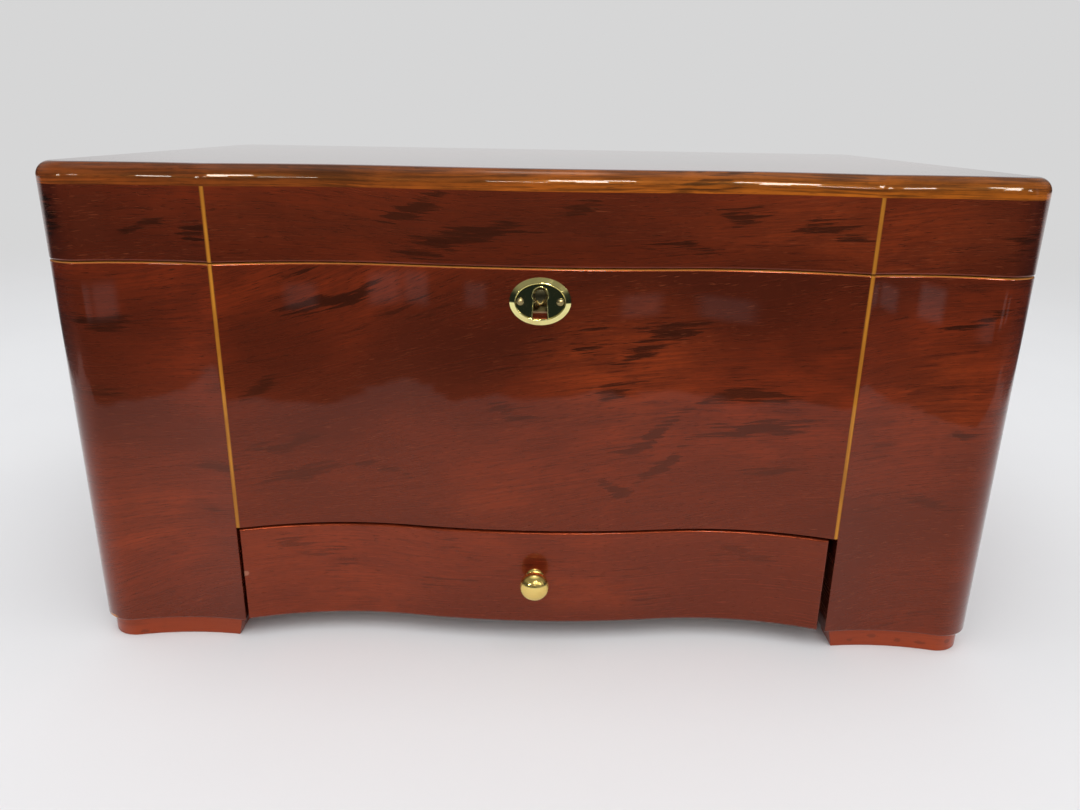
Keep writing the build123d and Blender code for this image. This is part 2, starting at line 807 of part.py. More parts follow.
# Escutcheon: an oval plate with a bevelled rim and a thin lip round the keyhole
with BuildPart() as escutcheon:
    with BuildSketch(facing_front(escutcheon_y)):
        with Locations((0, key_z)):
            Ellipse(escutcheon_width / 2, escutcheon_height / 2)
    extrude(amount=escutcheon_rim_height)
    chamfer(escutcheon.faces().sort_by(Axis.Y)[0].edges(), escutcheon_rim_bevel)
    with BuildSketch(facing_front(escutcheon_field_y)):
        with Locations((0, key_z)):
            Ellipse(
                escutcheon_width / 2 - escutcheon_rim_width,
                escutcheon_height / 2 - escutcheon_rim_width,
            )
    extrude(amount=escutcheon_rim_height, mode=Mode.SUBTRACT)
    with BuildSketch(facing_front(escutcheon_field_y)):
        with Locations((0, key_z)):
            add(keyhole(keyhole_lip_width))
    extrude(amount=keyhole_lip_height)
    with BuildSketch(facing_front(escutcheon_y)):
        with Locations((0, key_z)):
            add(keyhole())
    extrude(amount=escutcheon_rim_height, mode=Mode.SUBTRACT)
    add(escutcheon_screw_bores(), mode=Mode.SUBTRACT)
escutcheon.part.label = "escutcheon"
export_step(escutcheon.part, "parts/escutcheon.step")

with BuildPart() as escutcheon_screws:
    for x in escutcheon_screw_xs:
        with BuildSketch(facing_front(escutcheon_field_y)):
            with Locations((x, key_z)):
                Circle(escutcheon_screw_head_radius)
        extrude(amount=escutcheon_screw_head_height)
        with BuildSketch(facing_front(escutcheon_field_y)):
            with Locations((x, key_z)):
                Circle(escutcheon_screw_shank_radius)
        extrude(amount=-escutcheon_screw_length)
    fillet(escutcheon_screws.edges().group_by(Axis.Y)[0], escutcheon_screw_head_round)
escutcheon_screws.part.label = "escutcheon_screws"
export_step(escutcheon_screws.part, "parts/escutcheon_screws.step")


def hinge_leaf(middle_x, in_lid):
    """One leaf of a butt hinge: a flat plate let into the wood, with its knuckles on the barrel."""
    low_z = lid_z if in_lid else rim_z - leaf_thickness
    high_z = low_z + leaf_thickness
    side_knuckle = (leaf_length - knuckle_length) / 2 - knuckle_gap
    side_middle = (leaf_length - side_knuckle) / 2
    knuckles = [(0, knuckle_length)]
    if in_lid:
        knuckles = [(-side_middle, side_knuckle), (side_middle, side_knuckle)]
    with BuildPart() as leaf:
        add(
            slab(
                (middle_x - leaf_length / 2, back_y - leaf_width, low_z),
                (middle_x + leaf_length / 2, back_y, high_z),
            )
        )
        for step, length in knuckles:
            add(
                slab(
                    (middle_x + step - length / 2, back_y - leaf_thickness, low_z),
                    (middle_x + step + length / 2, hinge_y, high_z),
                )
            )
            with Locations((middle_x + step, hinge_y, hinge_z)):
                Cylinder(barrel_radius, length, rotation=(0, 90, 0))
        with Locations((middle_x, hinge_y, hinge_z)):
            Cylinder(
                pin_radius + pin_clearance,
                leaf_length + overshoot,
                rotation=(0, 90, 0),
                mode=Mode.SUBTRACT,
            )
        spots = [(x, y) for x, y in hinge_screw_spots if abs(x - middle_x) < leaf_length]
        level = low_z if in_lid else high_z
        add(
            screws(spots, level, hinge_screw_length, pointing_up=in_lid, clearance=screw_clearance),
            mode=Mode.SUBTRACT,
        )
    return leaf.part


for middle_x, side_word in zip(hinge_xs, ("left", "right")):
    for in_lid, place in ((False, "body"), (True, "lid")):
        one_leaf = hinge_leaf(middle_x, in_lid)
        one_leaf.label = f"hinge_{place}_leaf_{side_word}"
        export_step(one_leaf, f"parts/{one_leaf.label}.step")

with BuildPart() as hinge_pins:
    with Locations(*[(x, hinge_y, hinge_z) for x in hinge_xs]):
        Cylinder(pin_radius, leaf_length, rotation=(0, 90, 0))
hinge_pins.part.label = "hinge_pins"
export_step(hinge_pins.part, "parts/hinge_pins.step")

with BuildPart() as hinge_body_screws:
    add(screws(hinge_screw_spots, rim_z, hinge_screw_length))
hinge_body_screws.part.label = "hinge_body_screws"
export_step(hinge_body_screws.part, "parts/hinge_body_screws.step")

with BuildPart() as hinge_lid_screws:
    add(screws(hinge_screw_spots, lid_z, hinge_screw_length, pointing_up=True))
hinge_lid_screws.part.label = "hinge_lid_screws"
export_step(hinge_lid_screws.part, "parts/hinge_lid_screws.step")

# Lid: a top board on four walls, with the front's shape carried up
lid_front_inner_y = front_inner_y - lid_relief
lid_back_inner_y = back_inner_y + lid_relief
lid_inner_x = side_inner_x + lid_relief

with BuildPart() as lid_top:
    with BuildSketch(Plane.XY.offset(top_z)):
        add(plan_face)
    extrude(amount=top_thickness)
    fillet(lid_top.faces().sort_by(Axis.Z)[-1].edges(), top_thickness - top_flat)
lid_top.part.label = "lid_top"
export_step(lid_top.part, "parts/lid_top.step")

lid_front_plan = plan_slice(case_width, front_limit_y, lid_front_inner_y)
lid_front_blank = case_board(lid_front_plan, lid_z, top_z, True, False)
with BuildPart() as lid_string_grooves:
    with Locations(*[(x, front_y, lid_z) for x in string_xs]):
        Box(string_width, 2 * string_depth, lid_wall_height, align=groove_align)

strike_screw_bores = screws(
    strike_screw_spots, lid_z, strike_screw_length, pointing_up=True, clearance=screw_clearance
)
with BuildPart() as lid_front:
    add(lid_front_blank)
    add(lid_string_grooves.part, mode=Mode.SUBTRACT)
    add(
        slab(
            (-strike_length / 2, lock_y - face_plate_width / 2, lid_z - overshoot),
            (strike_length / 2, lock_y + face_plate_width / 2, lid_z + strike_thickness),
        ),
        mode=Mode.SUBTRACT,
    )
    add(strike_screw_bores, mode=Mode.SUBTRACT)
lid_front.part.label = "lid_front"
export_step(lid_front.part, "parts/lid_front.step")

with BuildPart() as lid_strings:
    add(lid_string_grooves.part)
    add(lid_front_blank, mode=Mode.INTERSECT)
lid_strings.part.label = "lid_strings"
export_step(lid_strings.part, "parts/lid_strings.step")

for side, name in ((-1, "lid_left_side"), (1, "lid_right_side")):
    with BuildPart() as lid_side:
        with BuildSketch(Plane.XY.offset(lid_z)):
            with Locations((side * side_x, lid_front_inner_y)):
                Rectangle(
                    2 * (side_x - lid_inner_x),
                    lid_back_inner_y - lid_front_inner_y,
                    align=(Align.CENTER, Align.MIN),
                )
            add(plan_face, mode=Mode.INTERSECT)
        extrude(amount=lid_wall_height)
        fillet(outline_edges(lid_side, lid_z), edge_round)
    lid_side.part.label = name
    export_step(lid_side.part, f"parts/{name}.step")

with BuildPart() as lid_back:
    add(case_board(plan_slice(case_width, lid_back_inner_y, back_y), lid_z, top_z, True, False))
    with Locations(*[(x, back_y, lid_z) for x in hinge_xs]):
        Box(leaf_length, 2 * leaf_width, 2 * leaf_thickness, mode=Mode.SUBTRACT)
    add(
        screws(hinge_screw_spots, lid_z, hinge_screw_length, pointing_up=True, clearance=screw_clearance),
        mode=Mode.SUBTRACT,
    )
lid_back.part.label = "lid_back"
export_step(lid_back.part, "parts/lid_back.step")

with BuildPart() as lid_ceiling:
    add(slab((-lid_inner_x, lid_front_inner_y, ceiling_z), (lid_inner_x, lid_back_inner_y, top_z)))
lid_ceiling.part.label = "lid_ceiling"
export_step(lid_ceiling.part, "parts/lid_ceiling.step")

# Strike in the lid's front wall, with the two links that drop into the lock
with BuildPart() as strike_plate:
    add(
        slab(
            (-strike_length / 2, lock_y - face_plate_width / 2, lid_z),
            (strike_length / 2, lock_y + face_plate_width / 2, lid_z + strike_thickness),
        )
    )
    for x in link_xs:
        add(
            slab(
                (x - link_thickness / 2, lock_y - link_width / 2, link_low_z),
                (x + link_thickness / 2, lock_y + link_width / 2, lid_z),
            )
        )
        with Locations((x, lock_y, link_window_z)):
            Box(2 * link_thickness, window_width, window_height, mode=Mode.SUBTRACT)
    add(strike_screw_bores, mode=Mode.SUBTRACT)
strike_plate.part.label = "strike_plate"
export_step(strike_plate.part, "parts/strike_plate.step")

with BuildPart() as strike_screws:
    add(screws(strike_screw_spots, lid_z, strike_screw_length, pointing_up=True))
strike_screws.part.label = "strike_screws"
export_step(strike_screws.part, "parts/strike_screws.step")

# Humidifier: a shallow box with a slotted grille, open side down
humidifier_low_z = ceiling_z - humidifier_height
with BuildSketch() as humidifier_inside:
    with Locations((humidifier_x, middle_y)):
        RectangleRounded(
            humidifier_length - 2 * humidifier_wall,
            humidifier_width - 2 * humidifier_wall,
            humidifier_corner - humidifier_wall,
        )

with BuildPart() as humidifier_case:
    with BuildSketch(Plane.XY.offset(humidifier_low_z)):
        with Locations((humidifier_x, middle_y)):
            RectangleRounded(humidifier_length, humidifier_width, humidifier_corner)
    extrude(amount=humidifier_height)
    with BuildSketch(Plane.XY.offset(humidifier_low_z)):
        add(humidifier_inside.sketch)
    extrude(amount=humidifier_height - humidifier_wall, mode=Mode.SUBTRACT)
humidifier_case.part.label = "humidifier_case"
export_step(humidifier_case.part, "parts/humidifier_case.step")

with BuildPart() as humidifier_grille:
    inner_length = humidifier_length - 2 * humidifier_wall
    inner_width = humidifier_width - 2 * humidifier_wall
    column_count = int((inner_length - 2 * grille_margin) // grille_slot_pitch)
    slot_length = (inner_width - 3 * grille_margin) / 2
    with BuildSketch(Plane.XY.offset(humidifier_low_z)):
        add(humidifier_inside.sketch)
        with Locations((humidifier_x, middle_y)):
            with GridLocations(grille_slot_pitch, slot_length + grille_margin, column_count, 2):
                SlotOverall(slot_length, grille_slot_width, rotation=90, mode=Mode.SUBTRACT)
    extrude(amount=grille_thickness)
humidifier_grille.part.label = "humidifier_grille"
export_step(humidifier_grille.part, "parts/humidifier_grille.step")

# Hygrometer: a round brass case that holds a dial, a needle and a glass, facing down
dial_top_z = ceiling_z - hygrometer_wall - dial_room
dial_z = dial_top_z - dial_thickness
glass_low_z = dial_z - dial_depth - glass_thickness
hygrometer_low_z = glass_low_z - hygrometer_bezel_height
hygrometer_inner_radius = hygrometer_radius - hygrometer_wall
with BuildPart() as hygrometer_case:
    with BuildSketch(Plane.XZ.offset(-middle_y)):
        with BuildLine():
            Polyline(
                (hygrometer_x, ceiling_z),
                (hygrometer_x + hygrometer_radius, ceiling_z),
                (hygrometer_x + hygrometer_radius, glass_low_z),
                (hygrometer_x + hygrometer_radius - hygrometer_bezel_height, hygrometer_low_z),
                (hygrometer_x + hygrometer_radius - hygrometer_bezel, hygrometer_low_z),
                (hygrometer_x + hygrometer_radius - hygrometer_bezel, glass_low_z),
                (hygrometer_x + hygrometer_inner_radius, glass_low_z),
                (hygrometer_x + hygrometer_inner_radius, dial_top_z),
                (hygrometer_x + hygrometer_inner_radius - dial_ledge, dial_top_z),
                (hygrometer_x + hygrometer_inner_radius - dial_ledge, ceiling_z - hygrometer_wall),
                (hygrometer_x, ceiling_z - hygrometer_wall),
                close=True,
            )
        make_face()
    revolve(axis=Axis((hygrometer_x, middle_y, 0), (0, 0, 1)))
hygrometer_case.part.label = "hygrometer_case"
export_step(hygrometer_case.part, "parts/hygrometer_case.step")

with BuildPart() as hygrometer_dial:
    with BuildSketch(Plane.XY.offset(dial_z)):
        with Locations((hygrometer_x, middle_y)):
            Circle(hygrometer_inner_radius)
            Circle(needle_arbor_radius + pin_clearance, mode=Mode.SUBTRACT)
    extrude(amount=dial_thickness)
hygrometer_dial.part.label = "hygrometer_dial"
export_step(hygrometer_dial.part, "parts/hygrometer_dial.step")

with BuildPart() as hygrometer_glass:
    with BuildSketch(Plane.XY.offset(glass_low_z)):
        with Locations((hygrometer_x, middle_y)):
            Circle(hygrometer_inner_radius)
    extrude(amount=glass_thickness)
hygrometer_glass.part.label = "hygrometer_glass"
export_step(hygrometer_glass.part, "parts/hygrometer_glass.step")

with BuildPart() as hygrometer_needle:
    needle_top_z = dial_z - needle_gap
    with BuildSketch(Plane.XY.offset(needle_top_z - needle_thickness)):
        with Locations((hygrometer_x, middle_y)):
            Polygon(
                (-needle_width / 2, -needle_tail),
                (needle_width / 2, -needle_tail),
                (0, needle_length),
                align=None,
            )
            Circle(needle_hub_radius)
    extrude(amount=needle_thickness)
    with BuildSketch(Plane.XY.offset(needle_top_z)):
        with Locations((hygrometer_x, middle_y)):
            Circle(needle_arbor_radius)
    extrude(amount=needle_gap + dial_thickness + needle_arbor_end)
hygrometer_needle.part.label = "hygrometer_needle"
export_step(hygrometer_needle.part, "parts/hygrometer_needle.step")

# Drawer. Its front repeats the wave of the case, a little behind it.
drawer_inner_half = drawer_half - drawer_side_thickness
drawer_back_inner_y = drawer_back_y - drawer_side_thickness
knob_x = drawer_shift + knob_offset
knob_z = case_z + knob_height
bottom_low_z = drawer_low_z + drawer_bottom_lift
bottom_half = drawer_inner_half + drawer_groove_depth
bottom_panel = slab(
    (drawer_shift - bottom_half, drawer_inner_y - drawer_groove_depth, bottom_low_z),
    (
        drawer_shift + bottom_half,
        drawer_back_inner_y + drawer_groove_depth,
        bottom_low_z + drawer_bottom_thickness,
    ),
)

with BuildPart() as drawer_front:
    drawer_front_z = case_z + drawer_bottom_gap
    end_x = drawer_front_width / 2
    rear_y = drawer_inner_y - drawer_setback
    with BuildSketch(Plane((drawer_shift, drawer_setback, drawer_front_z))):
        with BuildLine():
            add(wave_line(end_x))
            Polyline((-end_x, front_y), (-end_x, rear_y), (end_x, rear_y), (end_x, front_y))
        make_face()
    extrude(amount=opening_z - drawer_top_gap - drawer_front_z)
    rear_edges = drawer_front.faces().sort_by(Axis.Y)[-1].edges()
    end_edges = drawer_front.edges().filter_by(Axis.Y)
    fillet(drawer_front.edges() - rear_edges - end_edges, drawer_front_round)
    add(bottom_panel, mode=Mode.SUBTRACT)
    with Locations((knob_x, drawer_inner_y, knob_z)):
        Cylinder(
            knob_screw_radius + screw_clearance,
            2 * drawer_front_thickness,
            rotation=(90, 0, 0),
            mode=Mode.SUBTRACT,
        )
drawer_front.part.label = "drawer_front"
export_step(drawer_front.part, "parts/drawer_front.step")

for side, name in ((-1, "drawer_side_left"), (1, "drawer_side_right")):
    with BuildPart() as drawer_side:
        side_middle_x = drawer_shift + side * (drawer_half - drawer_side_thickness / 2)
        with Locations((side_middle_x, drawer_inner_y, drawer_low_z)):
            Box(
                drawer_side_thickness,
                drawer_back_y - drawer_inner_y,
                drawer_side_top_z - drawer_low_z,
                align=(Align.CENTER, Align.MIN, Align.MIN),
            )
        add(bottom_panel, mode=Mode.SUBTRACT)
    drawer_side.part.label = name
    export_step(drawer_side.part, f"parts/{name}.step")

with BuildPart() as drawer_back:
    add(
        slab(
            (drawer_shift - drawer_inner_half, drawer_back_inner_y, drawer_low_z),
            (drawer_shift + drawer_inner_half, drawer_back_y, drawer_side_top_z),
        )
    )
    add(bottom_panel, mode=Mode.SUBTRACT)
drawer_back.part.label = "drawer_back"
export_step(drawer_back.part, "parts/drawer_back.step")

with BuildPart() as drawer_bottom:
    add(bottom_panel)
drawer_bottom.part.label = "drawer_bottom"
export_step(drawer_bottom.part, "parts/drawer_bottom.step")

# Knob: a flattened ball on a short neck and a small flange, held by a screw from inside the drawer
face_y = front_y + crown_setback + drawer_setback
knob_neck_radius = knob_screw_radius + screw_clearance + knob_neck_wall
knob_head_y = face_y - knob_stand
with BuildPart() as knob:
    with BuildSketch(facing_front(face_y)):
        with Locations((knob_x, knob_z)):
            Circle(knob_neck_radius + knob_flange_lap)
    extrude(amount=knob_flange_thickness)
    fillet(knob.edges().sort_by(Axis.Y)[0], knob_flange_round)
    with BuildSketch(facing_front(face_y)):
        with Locations((knob_x, knob_z)):
            Circle(knob_neck_radius)
    extrude(amount=knob_stand)
    with BuildSketch(Plane.XY.offset(knob_z)):
        with Locations((knob_x, knob_head_y)):
            Ellipse(knob_radius, knob_half_thickness)
        with Locations((knob_x + knob_radius / 2, knob_head_y)):
            Rectangle(knob_radius, 2 * knob_half_thickness, mode=Mode.INTERSECT)
    revolve(axis=Axis((knob_x, knob_head_y, knob_z), (0, 1, 0)))
    with BuildSketch(facing_front(face_y)):
        with Locations((knob_x, knob_z)):
            Circle(knob_screw_radius + screw_clearance)
    extrude(amount=knob_thread_depth, mode=Mode.SUBTRACT)
knob.part.label = "knob"
export_step(knob.part, "parts/knob.step")

with BuildPart() as knob_screw:
    with BuildSketch(facing_front(drawer_inner_y)):
        with Locations((knob_x, knob_z)):
            Circle(knob_screw_radius)
    extrude(amount=drawer_inner_y - face_y + knob_thread_depth - screw_clearance)
    with BuildSketch(facing_front(drawer_inner_y)):
        with Locations((knob_x, knob_z)):
            Circle(knob_screw_head_radius)
    extrude(amount=-knob_screw_head_height)
    fillet(knob_screw.edges().sort_by(Axis.Y)[-1], knob_screw_head_round)
knob_screw.part.label = "knob_screw"
export_step(knob_screw.part, "parts/knob_screw.step")
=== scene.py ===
"""Looks of a lacquered cigar humidor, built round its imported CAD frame.

The case and the lid are slices of one shaped plan, dressed in figured veneer under a
glossy lacquer. Brass fittings, a cedar inside and the stage follow.
"""

import logging
import math
from dataclasses import dataclass, field
from enum import Enum
from typing import Iterable, Optional, Sequence

import bmesh
import bpy
from mathutils import Matrix, Vector


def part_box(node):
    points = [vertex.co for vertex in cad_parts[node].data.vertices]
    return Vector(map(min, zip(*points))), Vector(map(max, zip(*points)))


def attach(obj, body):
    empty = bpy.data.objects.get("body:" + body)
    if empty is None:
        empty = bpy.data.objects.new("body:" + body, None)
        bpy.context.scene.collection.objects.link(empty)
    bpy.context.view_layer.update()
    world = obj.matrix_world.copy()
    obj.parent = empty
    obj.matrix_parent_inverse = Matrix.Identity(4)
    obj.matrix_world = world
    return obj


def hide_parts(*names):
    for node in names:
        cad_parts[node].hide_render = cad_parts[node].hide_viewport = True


Mesh = bmesh.types.BMesh
Vert = bmesh.types.BMVert
Edge = bmesh.types.BMEdge
Material = bpy.types.Material
Socket = bpy.types.NodeSocket
Tree = bpy.types.NodeTree
Node = bpy.types.Node
Object = bpy.types.Object

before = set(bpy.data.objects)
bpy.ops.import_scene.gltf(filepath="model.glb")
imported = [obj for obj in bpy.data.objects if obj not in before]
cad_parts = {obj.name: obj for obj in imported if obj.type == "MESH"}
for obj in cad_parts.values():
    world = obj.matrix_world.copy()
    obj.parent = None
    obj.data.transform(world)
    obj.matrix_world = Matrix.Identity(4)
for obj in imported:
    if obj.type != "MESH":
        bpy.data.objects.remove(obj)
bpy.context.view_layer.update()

log = logging.getLogger("humidor")

MM = 0.001
FULL_TURN = 2 * math.pi
UP = Vector((0, 0, 1))
FORWARD = Vector((0, -1, 0))
PORE_DEPTH = 0.1 * MM


SIDES = {"left": -1, "right": 1}


class Body(str, Enum):
    """Moving bodies of the frame that pieces ride on."""

    CASE = "case"
    LID = "lid"
    DRAWER = "drawer"
    NEEDLE = "hygrometer_needle"


class Run(Enum):
    """How the grain of a wood runs over the object."""

    WRAPPED = "along the front and on round the sides"
    TOP = "from left to right over a level board"
    BACK = "along the back"
    UPRIGHT = "from the bottom up"


# Node helpers


class Nodes:
    """A short way to add and join the nodes of one tree."""

    def __init__(self, tree: Tree) -> None:
        """Starts on a tree.

        Args:
            tree: The tree that takes the nodes.
        """
        self.tree = tree

    def add(self, kind: str, **settings: object) -> Node:
        """Adds a node.

        Args:
            kind: Blender's name of the node's type.
            **settings: Properties of the node.

        Returns:
            The new node.
        """
        node = self.tree.nodes.new(kind)
        for name, value in settings.items():
            setattr(node, name, value)
        return node

    def feed(self, socket: Socket, source: object) -> None:
        """Joins an output to a socket, or sets a plain value on it.

        Args:
            socket: The input that is fed.
            source: An output socket, or a number, vector or colour.
        """
        if isinstance(source, Socket):
            self.tree.links.new(source, socket)
        else:
            socket.default_value = source

    def math(self, operation: str, *values: object, clamp: bool = False) -> Socket:
        """Adds a Math node.

        Args:
            operation: Its operation.
            *values: Its inputs, in order.
            clamp: Whether the result stays between 0 and 1.

        Returns:
            The node's result.
        """
        node = self.add("ShaderNodeMath", operation=operation, use_clamp=clamp)
        for socket, value in zip(node.inputs, values):
            self.feed(socket, value)
        return node.outputs[0]

    def combine(self, x: object, y: object, z: object) -> Socket:
        """Joins three values into a vector.

        Args:
            x: First value.
            y: Second value.
            z: Third value.

        Returns:
            The vector.
        """
        node = self.add("ShaderNodeCombineXYZ")
        for socket, value in zip(node.inputs, (x, y, z)):
            self.feed(socket, value)
        return node.outputs[0]

    def separate(self, vector: object) -> Sequence[Socket]:
        """Splits a vector.

        Args:
            vector: The vector.

        Returns:
            Its values.
        """
        node = self.add("ShaderNodeSeparateXYZ")
        self.feed(node.inputs[0], vector)
        return node.outputs

    def noise(
        self, vector: object, detail: float = 2.0, roughness: float = 0.5, scale: object = 1.0
    ) -> Socket:
        """Adds a noise.

        Args:
            vector: Where it is read, already stretched to the pattern's size.
            detail: Number of its finer layers.
            roughness: Strength of its finer layers.
            scale: A further scale.

        Returns:
            The noise, about 0.5.
        """
        node = self.add("ShaderNodeTexNoise", noise_dimensions="3D")
        self.feed(node.inputs["Vector"], vector)
        self.feed(node.inputs["Scale"], scale)
        node.inputs["Detail"].default_value = detail
        node.inputs["Roughness"].default_value = roughness
        return node.outputs["Fac"]

    def ramp(self, value: object, low: object, high: object, top: object = 1.0) -> Socket:
        """Maps a range smoothly to 0 and up.

        Args:
            value: What is mapped.
            low: Where the result is 0.
            high: Where the result is at its top.
            top: The result's top.

        Returns:
            The mapped value.
        """
        node = self.add("ShaderNodeMapRange", interpolation_type="SMOOTHSTEP")
        for socket, given in zip(node.inputs, (value, low, high, 0.0, top)):
            self.feed(socket, given)
        return node.outputs[0]

    def mix(self, factor: object, first: object, second: object) -> Socket:
        """Mixes two colours.

        Args:
            factor: Share of the second colour.
            first: First colour.
            second: Second colour.

        Returns:
            The mixed colour.
        """
        node = self.add("ShaderNodeMix", data_type="RGBA", blend_type="MIX")
        self.feed(node.inputs["Factor"], factor)
        self.feed(node.inputs[6], first)
        self.feed(node.inputs[7], second)
        return node.outputs[2]

    def group(self, tree: Tree, **inputs: object) -> Node:
        """Places a node group.

        Args:
            tree: The group.
            **inputs: What feeds its inputs, by name.

        Returns:
            The group's node.
        """
        node = self.add("ShaderNodeGroup", node_tree=tree)
        for name, source in inputs.items():
            self.feed(node.inputs[name], source)
        return node

    def shader(self, kind: str, tone: object, strength: object = 1.0) -> Socket:
        """Adds a shader that gives light.

        Args:
            kind: Blender's name of the node's type.
            tone: Its colour.
            strength: Its strength.

        Returns:
            The shader.
        """
        node = self.add(kind)
        self.feed(node.inputs["Color"], tone)
        self.feed(node.inputs["Strength"], strength)
        return node.outputs[0]

    def blend(self, share: object, first: object, second: object) -> Socket:
        """Mixes two shaders.

        Args:
            share: Share of the second shader.
            first: First shader.
            second: Second shader.

        Returns:
            The mixed shader.
        """
        node = self.add("ShaderNodeMixShader")
        for socket, source in zip(node.inputs, (share, first, second)):
            self.feed(socket, source)
        return node.outputs[0]

    def bump(self, height: object, strength: float, distance: float) -> Socket:
        """Turns a height into a normal.

        Args:
            height: The height.
            strength: How strongly it shows.
            distance: Size of a full step of the height, in metres.

        Returns:
            The normal.
        """
        node = self.add("ShaderNodeBump")
        node.inputs["Strength"].default_value = strength
        node.inputs["Distance"].default_value = distance
        self.feed(node.inputs["Height"], height)
        return node.outputs[0]


def colour(red: float, green: float, blue: float) -> tuple[float, float, float, float]:
    """A solid colour.

    Args:
        red: Red, linear.
        green: Green, linear.
        blue: Blue, linear.

    Returns:
        The colour with full alpha.
    """
    return (red, green, blue, 1.0)


class EffectLibrary:
    """Shader groups that more than one finish uses, each built once."""

    def __init__(self) -> None:
        """Starts with no groups."""
        self._made: dict[str, Tree] = {}

    def _start(
        self, name: str, inputs: dict[str, float], outputs: Iterable[str]
    ) -> tuple[Tree, Nodes, Node, Node]:
        """Opens a new group.

        Args:
            name: The group's name.
            inputs: Its number inputs and what they start at.
            outputs: Its number outputs.

        Returns:
            The tree, its helper, its input node and its output node.
        """
        tree = bpy.data.node_groups.new(name, "ShaderNodeTree")
        tree.interface.new_socket("Vector", in_out="INPUT", socket_type="NodeSocketVector")
        for socket_name, value in inputs.items():
            socket = tree.interface.new_socket(socket_name, in_out="INPUT", socket_type="NodeSocketFloat")
            socket.default_value = value
        for socket_name in outputs:
            tree.interface.new_socket(socket_name, in_out="OUTPUT", socket_type="NodeSocketFloat")
        nodes = Nodes(tree)
        return tree, nodes, nodes.add("NodeGroupInput"), nodes.add("NodeGroupOutput")

    def wood_figure(self) -> Tree:
        """Figure of a veneer: slow tone, feathery dark bands made of dashes, and fine pores.

        The vector's X runs along the grain and its Y across it, in metres.

        Returns:
            The group, with outputs Tone, Cloud, Dash, Streak, Grain, Pore and Fleck.
        """
        name = "wood_figure"
        if name in self._made:
            return self._made[name]
        tree, nodes, given, result = self._start(
            name, {"Seed": 0.0, "Warp": 0.05, "Slope": 0.0, "Spread": 0.0, "Guide": 0.0, "Wild": 1.0},
            ("Tone", "Cloud", "Dash", "Streak", "Grain", "Pore", "Fleck"),
        )
        along, across, _ = nodes.separate(given.outputs["Vector"])
        seed = given.outputs["Seed"]

        def field_at(rate: float, cross_rate: float, shift: float, position: object) -> object:
            """Point of a stretched pattern.

            Args:
                rate: Repeats per metre along the grain.
                cross_rate: Repeats per metre across it.
                shift: Keeps this pattern apart from the others.
                position: Place across the grain.

            Returns:
                The vector.
            """
            return nodes.combine(
                nodes.math("MULTIPLY", along, rate), nodes.math("MULTIPLY", position, cross_rate),
                nodes.math("ADD", seed, shift),
            )

        broad = nodes.noise(field_at(3.4, 5.5, 0.0, across), detail=1.5, roughness=0.4)
        drift = nodes.math("MULTIPLY", nodes.math("SUBTRACT", broad, 0.5), given.outputs["Warp"])
        fall = nodes.math("MULTIPLY", along, given.outputs["Slope"])
        bent = nodes.math("SUBTRACT", nodes.math("ADD", across, drift), fall)
        steep = nodes.math("SUBTRACT", nodes.math("MULTIPLY_ADD", drift, 1.6, bent), fall)

        tone = nodes.noise(field_at(4.5, 11.0, 7.7, bent), detail=3.0, roughness=0.5)
        cloud = nodes.noise(field_at(34.0, 60.0, 9.2, bent), detail=4.0, roughness=0.6)
        clusters = nodes.noise(field_at(6.5, 8.5, 11.3, steep), detail=1.0, roughness=0.4)
        dash = nodes.noise(field_at(62.0, 720.0, 13.3, bent), detail=2.5, roughness=0.55)
        contour = nodes.noise(field_at(3.6, 15.0, 17.9, steep), detail=2.0, roughness=0.45)
        off_line = nodes.math("ABSOLUTE", nodes.math("SUBTRACT", contour, 0.5))
        ridge = nodes.math("SUBTRACT", 1.0, nodes.math("MULTIPLY", off_line, 15.0), clamp=True)
        open_to = nodes.math("SUBTRACT", 0.5, given.outputs["Spread"])
        group = nodes.math(
            "MULTIPLY", ridge, nodes.ramp(clusters, open_to, nodes.math("ADD", open_to, 0.16))
        )
        group = nodes.math("MULTIPLY", group, given.outputs["Wild"])
        group = nodes.math("MAXIMUM", group, given.outputs["Guide"])
        ragged = nodes.math("MULTIPLY_ADD", nodes.math("SUBTRACT", dash, 0.5), 3.0, group)
        streak = nodes.math("MULTIPLY", nodes.ramp(ragged, 0.38, 0.85), nodes.ramp(group, 0.03, 0.3))
        grain = nodes.noise(field_at(30.0, 1100.0, 23.0, bent), detail=3.0, roughness=0.6)
        pores = nodes.noise(field_at(210.0, 2900.0, 29.0, bent), detail=1.0, roughness=0.4)
        flecks = nodes.noise(field_at(190.0, 2500.0, 37.0, bent), detail=1.0, roughness=0.4)

        nodes.feed(result.inputs["Tone"], nodes.ramp(tone, 0.34, 0.66))
        nodes.feed(result.inputs["Cloud"], nodes.ramp(cloud, 0.3, 0.7))
        nodes.feed(result.inputs["Dash"], nodes.ramp(dash, 0.5, 0.74))
        nodes.feed(result.inputs["Streak"], streak)
        nodes.feed(result.inputs["Grain"], grain)
        nodes.feed(result.inputs["Pore"], nodes.ramp(pores, 0.62, 0.72))
        nodes.feed(result.inputs["Fleck"], nodes.ramp(flecks, 0.66, 0.74))
        self._made[name] = tree
        return tree

    def handling(self) -> Tree:
        """Faint marks of handling, as a mask of slow smudges.

        Returns:
            The group, with the output Smudge.
        """
        name = "handling"
        if name in self._made:
            return self._made[name]
        tree, nodes, given, result = self._start(name, {"Size": 1.0}, ("Smudge",))
        scale = nodes.math("MULTIPLY", given.outputs["Size"], 30.0)
        smudge = nodes.noise(given.outputs["Vector"], detail=4.0, roughness=0.6, scale=scale)
        nodes.feed(result.inputs["Smudge"], nodes.ramp(smudge, 0.42, 0.7))
        self._made[name] = tree
        return tree


effects = EffectLibrary()


